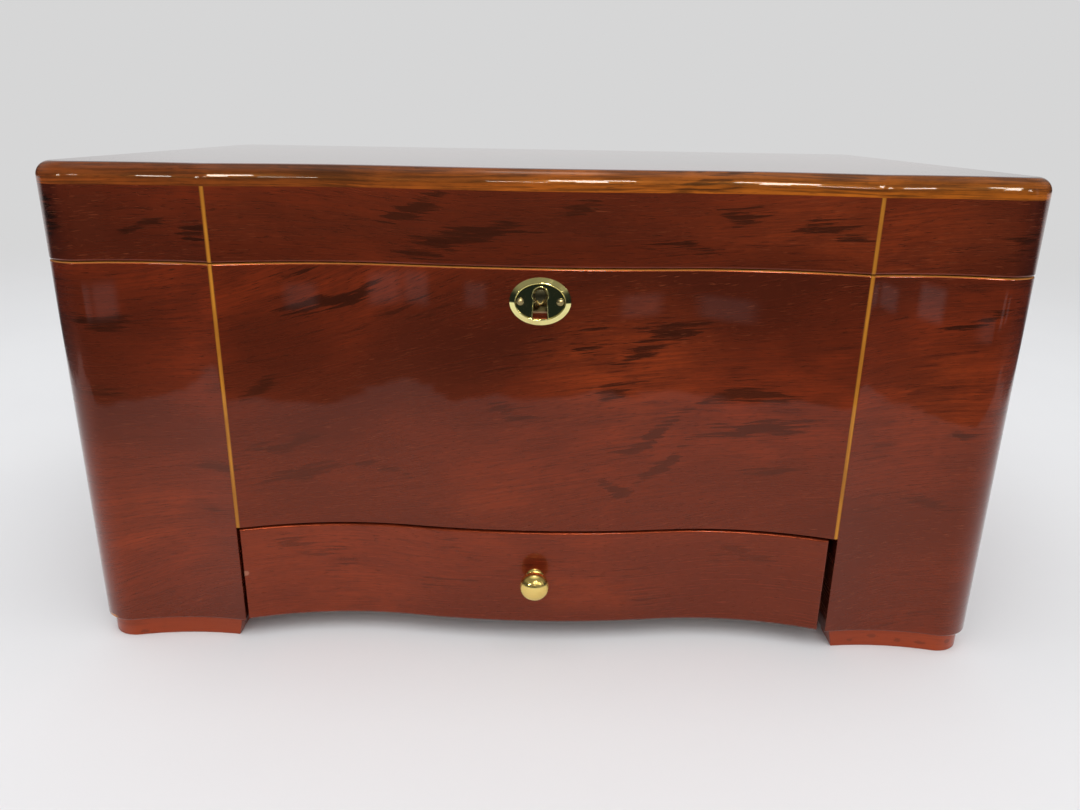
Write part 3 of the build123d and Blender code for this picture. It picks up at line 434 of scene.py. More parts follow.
def grain_place(nodes: Nodes, run: Run, turn_y: float) -> Socket:
    """Place on the wood, with X along the grain and Y across it.

    Args:
        nodes: The tree's helper.
        run: How the grain runs.
        turn_y: Depth at which a wrapped grain turns the corner.

    Returns:
        The place, in metres.
    """
    x, y, z = nodes.separate(nodes.add("ShaderNodeTexCoord").outputs["Object"])
    if run is Run.TOP:
        return nodes.combine(x, y, z)
    if run is Run.BACK:
        return nodes.combine(nodes.math("SUBTRACT", 1.0, x), z, y)
    if run is Run.UPRIGHT:
        return nodes.combine(z, nodes.math("ADD", x, y), y)
    past_corner = nodes.math("MAXIMUM", nodes.math("SUBTRACT", y, turn_y), 0.0)
    round_corner = nodes.math("MULTIPLY", nodes.math("SIGN", x), past_corner)
    return nodes.combine(nodes.math("ADD", x, round_corner), z, y)


def new_material(name: str) -> tuple[Material, Nodes, Node]:
    """Starts a material with a Principled surface.

    Args:
        name: The material's name.

    Returns:
        The material, its node helper and its Principled node.
    """
    material = bpy.data.materials.new(name)
    material.use_nodes = True
    surface = material.node_tree.nodes["Principled BSDF"]
    return material, Nodes(material.node_tree), surface


def smudged_material(name: str, size: float) -> tuple[Material, Nodes, Node, Socket, Socket]:
    """Starts a material with smudges.

    Args:
        name: The material's name.
        size: How fine its smudges are.

    Returns:
        The material, its node helper, its Principled node, the place on it and the smudges.
    """
    material, nodes, surface = new_material(name)
    place = nodes.add("ShaderNodeTexCoord").outputs["Object"]
    marks = nodes.group(effects.handling(), Vector=place, Size=size)
    return material, nodes, surface, place, marks.outputs["Smudge"]


@dataclass(frozen=True)
class Lacquer:
    """Clear gloss over a wood, and the wood's own soft, tinted sheen under it."""

    weight: float = 1.0
    roughness: float = 0.02
    ior: float = 1.25
    sheen: float = 0.75
    sheen_ior: float = 1.7
    sheen_tint: tuple = colour(1.0, 0.19, 0.07)
    sheen_roughness: float = 0.2

    def coat(self, surface: Node) -> None:
        """Puts the lacquer on a surface.

        Args:
            surface: The material's Principled node.
        """
        for name, value in (
            ("Coat Weight", self.weight), ("Coat Roughness", self.roughness),
            ("Coat IOR", self.ior), ("IOR", self.sheen_ior),
            ("Specular IOR Level", self.sheen), ("Specular Tint", self.sheen_tint),
        ):
            surface.inputs[name].default_value = value

    def lay(self, nodes: Nodes, surface: Node, figure: Node, pores: bool = True) -> None:
        """Puts the lacquer on a figured wood, whose grain and pores still show a little.

        Args:
            nodes: The tree's helper.
            surface: The material's Principled node.
            figure: The wood's figure.
            pores: Whether its pores are felt.
        """
        rough = nodes.math("MULTIPLY_ADD", figure.outputs["Grain"], 0.12, self.sheen_roughness)
        nodes.feed(surface.inputs["Roughness"], rough)
        if pores:
            depth = nodes.math("SUBTRACT", 1.0, figure.outputs["Pore"])
            nodes.feed(surface.inputs["Normal"], nodes.bump(depth, 0.1, PORE_DEPTH))
        self.coat(surface)


@dataclass(frozen=True)
class Mark:
    """A small mark of wear at one place of a surface."""

    place: tuple
    size: tuple
    tone: tuple
    strength: float = 0.9

    def lay(self, nodes: Nodes, body: Socket, position: Socket) -> Socket:
        """Lays the mark over a colour.

        Args:
            nodes: The tree's helper.
            body: The colour under it.
            position: Object coordinates.

        Returns:
            The colour with the mark.
        """
        mapped = nodes.add("ShaderNodeMapping", vector_type="TEXTURE")
        nodes.feed(mapped.inputs["Vector"], position)
        mapped.inputs["Location"].default_value = self.place
        mapped.inputs["Scale"].default_value = self.size
        length = nodes.add("ShaderNodeVectorMath", operation="LENGTH")
        nodes.feed(length.inputs[0], mapped.outputs[0])
        ragged = nodes.noise(position, detail=2.0, roughness=0.6, scale=900.0)
        edge = nodes.math(
            "MULTIPLY_ADD", nodes.math("SUBTRACT", ragged, 0.5), 1.3, length.outputs["Value"]
        )
        mask = nodes.math("MULTIPLY", nodes.ramp(edge, 1.1, 0.8), self.strength)
        return nodes.mix(mask, body, self.tone)


@dataclass(frozen=True)
class Streak:
    """A feathery dark streak of the veneer's front, by its middle, its half sizes and its tilt."""

    x: float
    z: float
    half_length: float
    half_width: float
    tilt_deg: float
    strength: float = 1.0

    def mask(self, nodes: Nodes, place: Socket) -> Socket:
        """Where the streak lies.

        Args:
            nodes: The tree's helper.
            place: Place on the wood, X along the front and Y up it.

        Returns:
            Its mask, from 0 to its strength.
        """
        mapped = nodes.add("ShaderNodeMapping", vector_type="TEXTURE")
        nodes.feed(mapped.inputs["Vector"], place)
        mapped.inputs["Location"].default_value = (self.x * MM, self.z * MM, 0.0)
        mapped.inputs["Rotation"].default_value = (0.0, 0.0, math.radians(self.tilt_deg))
        mapped.inputs["Scale"].default_value = (self.half_length * MM, self.half_width * MM, 1.0)
        length = nodes.add("ShaderNodeVectorMath", operation="LENGTH")
        nodes.feed(length.inputs[0], mapped.outputs[0])
        return nodes.ramp(length.outputs["Value"], 1.5, 0.2, self.strength)


def streaks(*rows: Sequence[float]) -> tuple[Streak, ...]:
    """Makes streaks from rows of their sizes in millimetres.

    Args:
        *rows: A streak's fields, in order.

    Returns:
        The streaks.
    """
    return tuple(Streak(*row) for row in rows)


def lay_streaks(nodes: Nodes, grain: Socket, placed: Sequence[Streak]) -> Socket:
    """Joins the masks of placed streaks, with their outlines broken up.

    Args:
        nodes: The tree's helper.
        grain: Place on the wood, X along the front and Y up it.
        placed: The streaks.

    Returns:
        The joint mask.
    """
    x, up, _ = nodes.separate(grain)
    flat = nodes.combine(x, up, 0.0)
    shake = nodes.noise(flat, detail=1.0, roughness=0.5, scale=32.0)
    moved = nodes.math("MULTIPLY_ADD", nodes.math("SUBTRACT", shake, 0.5), 20 * MM, up)
    place = nodes.combine(x, moved, 0.0)
    joint = placed[0].mask(nodes, place)
    for streak in placed[1:]:
        joint = nodes.math("MAXIMUM", joint, streak.mask(nodes, place))
    return joint


CASE_STREAKS = streaks(
    (-89, 159, 28, 4.0, 12), (-100, 171, 12, 2.0, 14, 0.8), (-118, 122, 9, 2.6, 12),
    (-110, 96, 22, 4.0, 13, 0.9), (-103, 82, 20, 3.4, 14), (-68, 83, 16, 2.6, -12, 0.8),
    (-9, 114, 18, 5.0, -12, 0.6), (20, 142, 12, 3.0, 0, 0.7), (51, 146, 22, 4.0, 26, 0.9),
    (31, 121, 9, 6.0, 45, 0.8), (47, 103, 20, 3.8, 30), (90, 120, 28, 3.8, 15), (33, 79, 10, 2.8, -4),
    (54, 89, 15, 3.2, 36), (93, 105, 28, 3.6, 15), (109, 88, 19, 3.0, 8, 0.7), (-180, 151, 13, 4.4, -8),
    (-185, 120, 11, 3.6, -10, 0.8), (-138, 88, 12, 3.2, 5, 0.8), (-145, 66, 10, 2.6, -5, 0.7),
    (175, 158, 15, 3.2, 20, 0.9), (176, 107, 14, 3.0, -3, 0.7), (173, 77, 17, 2.8, -6, 0.8),
)

# Darker zones of the case's front: partly the veneer's own tone and partly painted shade, which darkens
# its upper left.
CASE_DARK_ZONES_AND_PAINTED_SHADE = streaks(
    (-42, 136, 34, 26, 0, 0.8), (-112, 134, 28, 24, 0, 0.7), (-182, 140, 30, 30, 0, 0.6),
    (84, 80, 30, 10, 10, 0.4),
)

# Paler zones of the case's front: partly the veneer's own tone and partly painted light, which brightens
# its upper right.
CASE_PALE_ZONES_AND_PAINTED_LIGHT = streaks(
    (36, 138, 38, 28, 0, 0.85), (172, 124, 22, 24, 0, 0.7), (-30, 72, 60, 14, 0, 0.3),
    (-175, 60, 26, 16, 0, 0.4),
)

LID_STREAKS = streaks(
    (-52, 197, 14, 5.0, 15), (-28, 188, 29, 4.6, 8), (-47, 181, 15, 3.0, 8, 0.9),
    (-160, 191, 11, 2.2, 5, 0.9), (-138, 187, 8, 5.0, 0, 0.8), (16, 200, 10, 3.2, 5, 0.9),
    (81, 199, 11, 3.8, -5, 0.9), (117, 192, 16, 4.0, -12, 0.9), (60, 184, 26, 5.0, 3, 0.5),
    (-196, 192, 6, 12.0, 0, 0.8), (190, 188, 8, 8.0, -10, 0.5),
)

# Paler zone of the lid's front: partly the veneer's own tone and partly painted light on its right side.
LID_PALE_ZONES_AND_PAINTED_LIGHT = streaks(
    (130, 190, 60, 20, 0, 0.6),
)
# Darker zones of the lid's front: partly the veneer's own tone and partly painted shade towards its left.
LID_DARK_ZONES_AND_PAINTED_SHADE = streaks(
    (-20, 190, 50, 20, 0, 0.6), (-190, 190, 24, 24, 0, 0.6),
)
DRAWER_STREAKS = streaks(
    (96, 44, 17, 4.0, 10, 0.8), (-105, 46, 22, 4.0, 5, 0.7), (-40, 30, 20, 4.0, 8, 0.5),
    (60, 20, 18, 3.0, 0, 0.6),
)
DRAWER_ZONES = streaks(
    (25, 26, 34, 12, 0, 0.5), (-80, 22, 30, 10, 0, 0.4),
)


@dataclass(frozen=True)
class FiguredVeneer:
    """Red-brown veneer with feathery dark bands and fine short pores, under lacquer; its broad paler and
    darker zones are partly its own tone and partly painted light and painted shade.
    """

    name: str
    run: Run = Run.WRAPPED
    seed: float = 0.0
    light: tuple = colour(0.160, 0.0200, 0.0054)
    deep: tuple = colour(0.034, 0.0058, 0.0032)
    dark: tuple = colour(0.007, 0.003, 0.0022)
    fleck: tuple = colour(0.27, 0.075, 0.030)
    streak_strength: float = 0.95
    warp: float = 0.12
    slope: float = 0.14
    spread: float = 0.04
    fleck_strength: float = 0.28
    marks: Sequence[Mark] = ()
    streaks: Sequence[Streak] = ()
    # Paler and darker zones and the paler zones' colour: partly the wood's own tone, partly painted light
    # and painted shade.
    pale_zones_and_painted_light: Sequence[Streak] = ()
    dark_zones_and_painted_shade: Sequence[Streak] = ()
    bright: tuple = colour(0.235, 0.034, 0.0075)
    lacquer: Lacquer = field(default_factory=Lacquer)

    def build(self, turn_y: float) -> Material:
        """Makes the material.

        Args:
            turn_y: Depth at which a wrapped grain turns the corner.

        Returns:
            The material.
        """
        material, nodes, surface = new_material(self.name)
        grain = grain_place(nodes, self.run, turn_y)
        figure = nodes.group(
            effects.wood_figure(), Vector=grain, Seed=self.seed, Warp=self.warp, Slope=self.slope,
            Spread=self.spread,
        )
        tone, cloud, dash, streak, fibre, pore, fleck = figure.outputs
        if self.streaks:
            along, _, _ = nodes.separate(grain)
            past = nodes.ramp(nodes.math("ABSOLUTE", along), 0.18, 0.24, 0.75)
            nodes.feed(figure.inputs["Wild"], nodes.math("ADD", past, 0.25))
            nodes.feed(figure.inputs["Guide"], lay_streaks(nodes, grain, self.streaks))
        body = nodes.mix(tone, self.deep, self.light)
        # Broad paler and darker zones: partly the wood's tone, partly painted light and painted shade.
        if self.pale_zones_and_painted_light:
            body = nodes.mix(lay_streaks(nodes, grain, self.pale_zones_and_painted_light), body, self.bright)
        if self.dark_zones_and_painted_shade:
            body = nodes.mix(lay_streaks(nodes, grain, self.dark_zones_and_painted_shade), body, self.deep)
        soft = nodes.math("MULTIPLY", cloud, 0.55)
        body = nodes.mix(soft, body, self.deep)
        dash = nodes.math("MULTIPLY", dash, nodes.ramp(cloud, 0.0, 0.7, 0.85))
        body = nodes.mix(dash, body, self.deep)
        fine = nodes.ramp(fibre, 0.36, 0.66, 0.55)
        body = nodes.mix(fine, body, self.deep)
        streak = nodes.math("MULTIPLY", streak, self.streak_strength)
        body = nodes.mix(streak, body, self.dark)
        body = nodes.mix(nodes.math("MULTIPLY", pore, 0.7), body, self.dark)
        spare = nodes.math("SUBTRACT", 1.0, tone, clamp=True)
        pale = nodes.math("MULTIPLY", fleck, nodes.ramp(spare, 0.2, 0.7))
        pale = nodes.math("MULTIPLY", pale, self.fleck_strength)
        body = nodes.mix(pale, body, self.fleck)
        position = nodes.add("ShaderNodeTexCoord").outputs["Object"]
        for mark in self.marks:
            body = mark.lay(nodes, body, position)
        nodes.feed(surface.inputs["Base Color"], body)
        self.lacquer.lay(nodes, surface, figure)
        return material


@dataclass(frozen=True)
class StraightWood:
    """Wood with a straight, fine grain, bare or under lacquer."""

    name: str
    light: tuple
    dark: tuple
    run: Run = Run.WRAPPED
    seed: float = 0.0
    contrast: float = 0.6
    pore_strength: float = 0.5
    roughness: float = 0.5
    bump: float = 0.25
    marks: Sequence[Mark] = ()
    lacquer: Optional[Lacquer] = None

    def build(self, turn_y: float) -> Material:
        """Makes the material.

        Args:
            turn_y: Depth at which a wrapped grain turns the corner.

        Returns:
            The material.
        """
        material, nodes, surface = new_material(self.name)
        figure = nodes.group(
            effects.wood_figure(), Vector=grain_place(nodes, self.run, turn_y), Seed=self.seed,
            Warp=0.012, Spread=0.1,
        )
        tone, _, _, streak, fibre, pore, _ = figure.outputs
        slow = nodes.math("MULTIPLY", tone, self.contrast)
        fine = nodes.ramp(fibre, 0.3, 0.7, 0.7 * self.contrast)
        body = nodes.mix(slow, self.light, self.dark)
        body = nodes.mix(fine, body, self.dark)
        open_pore = nodes.math("MULTIPLY", pore, self.pore_strength)
        shade = tuple(0.35 * part for part in self.dark[:3]) + (1.0,)
        body = nodes.mix(open_pore, body, shade)
        streak = nodes.math("MULTIPLY", streak, 0.45 * self.contrast)
        body = nodes.mix(streak, body, shade)
        position = nodes.add("ShaderNodeTexCoord").outputs["Object"]
        for mark in self.marks:
            body = mark.lay(nodes, body, position)
        nodes.feed(surface.inputs["Base Color"], body)
        rough = nodes.math("MULTIPLY_ADD", fibre, 0.15, self.roughness)
        nodes.feed(surface.inputs["Roughness"], rough)
        height = nodes.math("SUBTRACT", fibre, pore)
        nodes.feed(surface.inputs["Normal"], nodes.bump(height, self.bump, PORE_DEPTH))
        if self.lacquer is not None:
            self.lacquer.coat(surface)
        else:
            surface.inputs["Specular IOR Level"].default_value = 0.3
        return material


@dataclass(frozen=True)
class GoldenLipping:
    """Golden-brown edging of the lid: flamed, with painted light along its foot, redder to the left."""

    name: str
    foot_z: float
    seed: float = 8.0
    golden: tuple = colour(0.52, 0.135, 0.012)
    russet: tuple = colour(0.30, 0.066, 0.011)
    dark: tuple = colour(0.036, 0.011, 0.0042)
    lacquer: Lacquer = field(default_factory=Lacquer)

    def build(self, turn_y: float) -> Material:
        """Makes the material.

        Args:
            turn_y: Depth at which a wrapped grain turns the corner.

        Returns:
            The material.
        """
        material, nodes, surface = new_material(self.name)
        figure = nodes.group(
            effects.wood_figure(), Vector=grain_place(nodes, Run.WRAPPED, turn_y), Seed=self.seed,
            Warp=0.03, Spread=0.12,
        )
        tone, cloud, dash, streak, fibre, pore, _ = figure.outputs
        x, _, z = nodes.separate(nodes.add("ShaderNodeTexCoord").outputs["Object"])
        to_right = nodes.ramp(x, -0.17, 0.16)
        # Painted light: less darkening is mixed in along the band's foot, so it shows lighter there.
        foot = nodes.ramp(z, self.foot_z + 3.4 * MM, self.foot_z + 0.8 * MM)
        body = nodes.mix(to_right, self.russet, self.golden)
        shade = nodes.math("MULTIPLY", tone, 0.5)
        shade = nodes.math("ADD", shade, nodes.math("MULTIPLY", cloud, 0.34))
        shade = nodes.math("SUBTRACT", shade, nodes.math("MULTIPLY", foot, 0.3), clamp=True)
        body = nodes.mix(shade, body, self.dark)
        fine = nodes.ramp(fibre, 0.42, 0.68, 0.7)
        body = nodes.mix(fine, body, self.dark)
        streak = nodes.math("MAXIMUM", streak, nodes.math("MULTIPLY", dash, 0.6))
        streak = nodes.math("MAXIMUM", streak, nodes.math("MULTIPLY", pore, 0.7))
        body = nodes.mix(nodes.math("MULTIPLY", streak, 0.8), body, self.dark)
        nodes.feed(surface.inputs["Base Color"], body)
        self.lacquer.lay(nodes, surface, figure)
        return material


@dataclass(frozen=True)
class StringInlay:
    """Amber inlay, darker where it meets the veneer on both sides."""

    name: str
    half_spacing: float
    half_width: float
    amber: tuple = colour(0.50, 0.20, 0.022)
    brown: tuple = colour(0.13, 0.035, 0.008)
    lacquer: Lacquer = field(default_factory=Lacquer)

    def build(self, turn_y: float) -> Material:
        """Makes the material.

        Args:
            turn_y: Depth at which a wrapped grain turns the corner.

        Returns:
            The material.
        """
        material, nodes, surface = new_material(self.name)
        figure = nodes.group(
            effects.wood_figure(), Vector=grain_place(nodes, Run.UPRIGHT, turn_y), Seed=3.0, Warp=0.01
        )
        _, cloud, _, _, fibre, _, _ = figure.outputs
        x, _, _ = nodes.separate(nodes.add("ShaderNodeTexCoord").outputs["Object"])
        aside = nodes.math(
            "ABSOLUTE", nodes.math("SUBTRACT", nodes.math("ABSOLUTE", x), self.half_spacing)
        )
        body = nodes.mix(nodes.ramp(fibre, 0.35, 0.7, 0.4), self.amber, self.brown)
        body = nodes.mix(nodes.math("MULTIPLY", cloud, 0.35), body, self.brown)
        edge = nodes.ramp(aside, 0.45 * self.half_width, 1.0 * self.half_width, 0.85)
        body = nodes.mix(edge, body, self.brown)
        nodes.feed(surface.inputs["Base Color"], body)
        self.lacquer.lay(nodes, surface, figure, pores=False)
        return material


@dataclass(frozen=True)
class PolishedBrass:
    """Brass with a bright polish and faint smudges."""

    name: str
    metal: tuple = colour(0.84, 0.73, 0.33)
    dull: tuple = colour(0.60, 0.47, 0.17)
    roughness: float = 0.07
    smudge_roughness: float = 0.12

    def build(self) -> Material:
        """Makes the material.

        Returns:
            The material.
        """
        material, nodes, surface, _, smudge = smudged_material(self.name, 6.0)
        nodes.feed(
            surface.inputs["Base Color"],
            nodes.mix(nodes.math("MULTIPLY", smudge, 0.35), self.metal, self.dull),
        )
        nodes.feed(
            surface.inputs["Roughness"],
            nodes.math("MULTIPLY_ADD", smudge, self.smudge_roughness, self.roughness),
        )
        surface.inputs["Metallic"].default_value = 1.0
        return material


@dataclass(frozen=True)
class SatinPlastic:
    """Moulded plastic with a fine matt texture."""

    name: str
    tone: tuple = colour(0.018, 0.018, 0.019)
    roughness: float = 0.42

    def build(self) -> Material:
        """Makes the material.

        Returns:
            The material.
        """
        material, nodes, surface, place, smudge = smudged_material(self.name, 2.0)
        pale = tuple(2.2 * part for part in self.tone[:3]) + (1.0,)
        nodes.feed(
            surface.inputs["Base Color"], nodes.mix(nodes.math("MULTIPLY", smudge, 0.4), self.tone, pale)
        )
        nodes.feed(surface.inputs["Roughness"], nodes.math("MULTIPLY_ADD", smudge, 0.15, self.roughness))
        texture = nodes.noise(place, detail=1.0, roughness=0.5, scale=4200.0)
        nodes.feed(surface.inputs["Normal"], nodes.bump(texture, 0.25, 0.00005))
        return material


@dataclass(frozen=True)
class DialFace:
    """Cream enamel of the hygrometer's dial, a little aged, with printed ticks."""

    name: str
    middle: Vector
    cream: tuple = colour(0.80, 0.76, 0.64)
    aged: tuple = colour(0.66, 0.58, 0.42)
    printed: tuple = colour(0.02, 0.02, 0.022)
    tick_end: float = 18.2 * MM
    blur: float = 0.05 * MM
    sweep_deg: float = 121.0
    fine: tuple = (4.8, 1.2 * MM, 0.08 * MM)
    bold: tuple = (24.0, 2.6 * MM, 0.17 * MM)

    def ticks(self, nodes: Nodes, turn: object, radius: object, sizes: Sequence[float]) -> Socket:
        """Ticks round the dial, at every step.

        Args:
            nodes: The tree's helper.
            turn: Angle from the dial's top, in radians.
            radius: Distance from the dial's middle.
            sizes: Angle between two ticks in degrees, a tick's length and half its width.

        Returns:
            Their mask.
        """
        step_deg, length, half_width = sizes
        start = self.tick_end - length
        step = math.radians(step_deg)
        count = nodes.math("DIVIDE", turn, step)
        off = nodes.math("ABSOLUTE", nodes.math("SUBTRACT", count, nodes.math("ROUND", count)))
        aside = nodes.math("MULTIPLY", nodes.math("MULTIPLY", off, step), radius)
        line = nodes.ramp(aside, 1.2 * half_width, 0.8 * half_width)
        return nodes.math("MULTIPLY", line, nodes.ramp(radius, start, start + self.blur))

    def build(self) -> Material:
        """Makes the material.

        Returns:
            The material.
        """
        material, nodes, surface, place, smudge = smudged_material(self.name, 4.0)
        x, y, _ = nodes.separate(place)
        right = nodes.math("SUBTRACT", x, self.middle.x)
        up = nodes.math("SUBTRACT", self.middle.y, y)
        turn = nodes.math("ARCTAN2", right, up)
        squares = nodes.math("MULTIPLY_ADD", right, right, nodes.math("MULTIPLY", up, up))
        radius = nodes.math("SQRT", squares)
        fine = self.ticks(nodes, turn, radius, self.fine)
        bold = self.ticks(nodes, turn, radius, self.bold)
        shown = nodes.math("MAXIMUM", fine, bold)
        shown = nodes.math(
            "MULTIPLY", shown, nodes.ramp(radius, self.tick_end + self.blur, self.tick_end)
        )
        ends = math.radians(self.sweep_deg)
        swept = nodes.ramp(nodes.math("ABSOLUTE", turn), ends + 0.01, ends)
        shown = nodes.math("MULTIPLY", shown, swept)
        enamel = nodes.mix(nodes.math("MULTIPLY", smudge, 0.5), self.cream, self.aged)
        nodes.feed(surface.inputs["Base Color"], nodes.mix(shown, enamel, self.printed))
        nodes.feed(surface.inputs["Roughness"], nodes.math("MULTIPLY_ADD", smudge, 0.2, 0.35))
        return material


@dataclass(frozen=True)
class ClearGlass:
    """Flat clear glass with faint smudges."""

    name: str

    def build(self) -> Material:
        """Makes the material.

        Returns:
            The material.
        """
        material, nodes, surface, _, smudge = smudged_material(self.name, 3.0)
        nodes.feed(surface.inputs["Roughness"], nodes.math("MULTIPLY_ADD", smudge, 0.05, 0.01))
        surface.inputs["Transmission Weight"].default_value = 1.0
        surface.inputs["IOR"].default_value = 1.45
        return material


# Sizes shared by the case, the lid and the drawer, in metres


@dataclass(frozen=True)
class Plan:
    """Outline of the case from above: hollow pillars, a wavy middle, straight sides and back."""

    width: float = 406 * MM
    depth: float = 250 * MM
    front_y: float = -122.65 * MM
    corner: float = 15 * MM
    rear_corner: float = 13 * MM
    string_spacing: float = 266.4 * MM
    string_width: float = 1.8 * MM
    string_border: float = 0.4 * MM
    wave_spacing: float = 160 * MM
    wave_depth: float = 8.0 * MM
    crown_setback: float = 2.6 * MM
    pillar_hollow: float = 1.4 * MM
    pillar_reach: float = 6.8 * MM
    step: float = 2.4 * MM

    @property
    def side_x(self) -> float:
        """Half the width."""
        return self.width / 2

    @property
    def back_y(self) -> float:
        """Depth of the back's outer face."""
        return self.front_y + self.depth

    @property
    def string_in(self) -> float:
        """Where the wavy middle ends beside a string."""
        return (self.string_spacing - self.string_width) / 2 - self.string_border

    @property
    def string_out(self) -> float:
        """Where a hollow pillar begins beside a string."""
        return (self.string_spacing + self.string_width) / 2 + self.string_border

    @property
    def opening_half(self) -> float:
        """Half the width between the strings' outer edges, which the drawer's opening takes."""
        return (self.string_spacing + self.string_width) / 2


PLAN = Plan()


class Wire:
    """A line of vertices in one level plane, grown from its end by straight runs and arcs."""

    def __init__(self, start: Sequence[float], level: float, step: float) -> None:
        """Starts the wire.

        Args:
            start: First point, X and Y.
            level: Height of the wire.
            step: Longest chord of an arc.
        """
        self.mesh = bmesh.new()
        self.level = level
        self.step = step
        self.end = self.mesh.verts.new((start[0], start[1], level))

    def line(self, x: float, y: float) -> "Wire":
        """Runs straight to a point.

        Args:
            x: The point's X.
            y: The point's Y.

        Returns:
            This wire.
        """
        grown = bmesh.ops.extrude_vert_indiv(self.mesh, verts=[self.end])
        self.end = grown["verts"][0]
        self.end.co = Vector((x, y, self.level))
        return self

    def arc(self, centre: Sequence[float], x: float, y: float) -> "Wire":
        """Runs to a point on a circle, the short way round.

        Args:
            centre: Middle of the circle, X and Y.
            x: The point's X.
            y: The point's Y.

        Returns:
            This wire.
        """
        middle = Vector((centre[0], centre[1], self.level))
        before = self.end.co - middle
        after = Vector((x, y, self.level)) - middle
        angle = math.atan2(before.cross(after).z, before.dot(after))
        steps = max(4, math.ceil(abs(angle) * before.length / self.step))
        swept = bmesh.ops.spin(self.mesh, geom=[self.end], cent=middle, axis=UP, angle=angle, steps=steps)
        self.end = [item for item in swept["geom_last"] if isinstance(item, Vert)][0]
        return self

    def close(self) -> Mesh:
        """Joins the wire's ends and fills it with a face that looks up.

        Returns:
            The mesh with its one face.
        """
        bmesh.ops.remove_doubles(self.mesh, verts=self.mesh.verts[:], dist=0.001 * MM)
        self.mesh.edges.ensure_lookup_table()
        if any(len(vertex.link_edges) < 2 for vertex in self.mesh.verts):
            ends = [vertex for vertex in self.mesh.verts if len(vertex.link_edges) == 1]
            self.mesh.edges.new(ends)
        face = bmesh.ops.contextual_create(self.mesh, geom=self.mesh.edges[:])["faces"][0]
        if face.normal.z < 0:
            face.normal_flip()
        return self.mesh


def arc_radius(half_chord: float, height: float) -> float:
    """Radius of the arc over a chord.

    Args:
        half_chord: Half of the chord.
        height: The arc's height over it.

    Returns:
        The radius.
    """
    return (half_chord**2 + height**2) / (2 * height)


def add_wave(wire: Wire, plan: Plan, end_x: float, shift: Sequence[float] = (0, 0)) -> None:
    """Draws the wavy middle from its left end to its right end.

    Args:
        wire: The wire, which stands at the left end.
        plan: The case's plan.
        end_x: Half the width of the middle.
        shift: How far it is moved from the case's own place.
    """
    wave_x = plan.wave_spacing / 2
    rise = plan.wave_depth - plan.crown_setback
    hollow = arc_radius(end_x - wave_x, plan.wave_depth)
    both = arc_radius(wave_x, rise)
    crown = both - hollow
    join_x = wave_x * crown / both
    base_y = plan.front_y + shift[1]
    join_y = base_y + plan.crown_setback + rise * crown / both
    hollow_y = base_y + plan.wave_depth - hollow
    crown_y = base_y + plan.crown_setback + crown
    wire.arc((shift[0] - wave_x, hollow_y), shift[0] - join_x, join_y)
    wire.arc((shift[0], crown_y), shift[0] + join_x, join_y)
    wire.arc((shift[0] + wave_x, hollow_y), shift[0] + end_x, base_y)


def circle_through(
    first: Sequence[float], second: Sequence[float], third: Sequence[float]
) -> tuple[Vector, float]:
    """The circle through three points.

    Args:
        first: One point, X and Y.
        second: Another point.
        third: The last point.

    Returns:
        Its middle and its radius.
    """
    start = Vector(first)
    one = Vector(second) - start
    two = Vector(third) - start
    double_area = 2 * (one.x * two.y - one.y * two.x)
    away = Vector(
        (
            (two.y * one.length_squared - one.y * two.length_squared) / double_area,
            (one.x * two.length_squared - two.x * one.length_squared) / double_area,
        )
    )
    return start + away, away.length


def plan_face(plan: Plan, level: float) -> Mesh:
    """The case's whole outline as one face.

    Args:
        plan: The case's plan.
        level: The face's height.

    Returns:
        A mesh with that face.
    """
    hollow, hollow_radius = circle_through(
        (plan.string_out, plan.front_y),
        ((plan.string_out + plan.side_x) / 2, plan.front_y + plan.pillar_hollow),
        (plan.side_x, plan.front_y - plan.pillar_reach),
    )
    corner_x = plan.side_x - plan.corner
    reach = hollow_radius + plan.corner
    corner_y = hollow.y + math.sqrt(reach**2 - (corner_x - hollow.x) ** 2)
    touch = hollow.lerp(Vector((corner_x, corner_y)), hollow_radius / reach)
    rear_x = plan.side_x - plan.rear_corner
    rear_y = plan.back_y - plan.rear_corner

    wire = Wire((-plan.string_in, plan.front_y), level, plan.step)
    add_wave(wire, plan, plan.string_in)
    wire.line(plan.string_out, plan.front_y)
    wire.arc(hollow, touch.x, touch.y)
    wire.step = plan.corner / 10
    wire.arc((corner_x, corner_y), plan.side_x, corner_y)
    wire.line(plan.side_x, rear_y)
    wire.arc((rear_x, rear_y), rear_x, plan.back_y)
    wire.line(-rear_x, plan.back_y)
    wire.arc((-rear_x, rear_y), -plan.side_x, rear_y)
    wire.line(-plan.side_x, corner_y)
    wire.arc((-corner_x, corner_y), -touch.x, touch.y)
    wire.step = plan.step
    wire.arc((-hollow.x, hollow.y), -plan.string_out, plan.front_y)
    return wire.close()


def raise_face(mesh: Mesh, offset: Sequence[float]) -> None:
    """Turns a flat mesh into a closed block.

    Args:
        mesh: The mesh, changed in place.
        offset: From its faces to the block's other end.
    """
    grown = bmesh.ops.extrude_face_region(mesh, geom=mesh.faces[:])
    top = [item for item in grown["geom"] if isinstance(item, Vert)]
    bmesh.ops.translate(mesh, verts=top, vec=offset)
    bmesh.ops.recalc_face_normals(mesh, faces=mesh.faces[:])


def level_edges(mesh: Mesh, level: float) -> list[Edge]:
    """Edges that lie at one height.

    Args:
        mesh: The mesh.
        level: The height.

    Returns:
        The edges.
    """
    near = 0.005 * MM
    return [edge for edge in mesh.edges if all(abs(vertex.co.z - level) < near for vertex in edge.verts)]


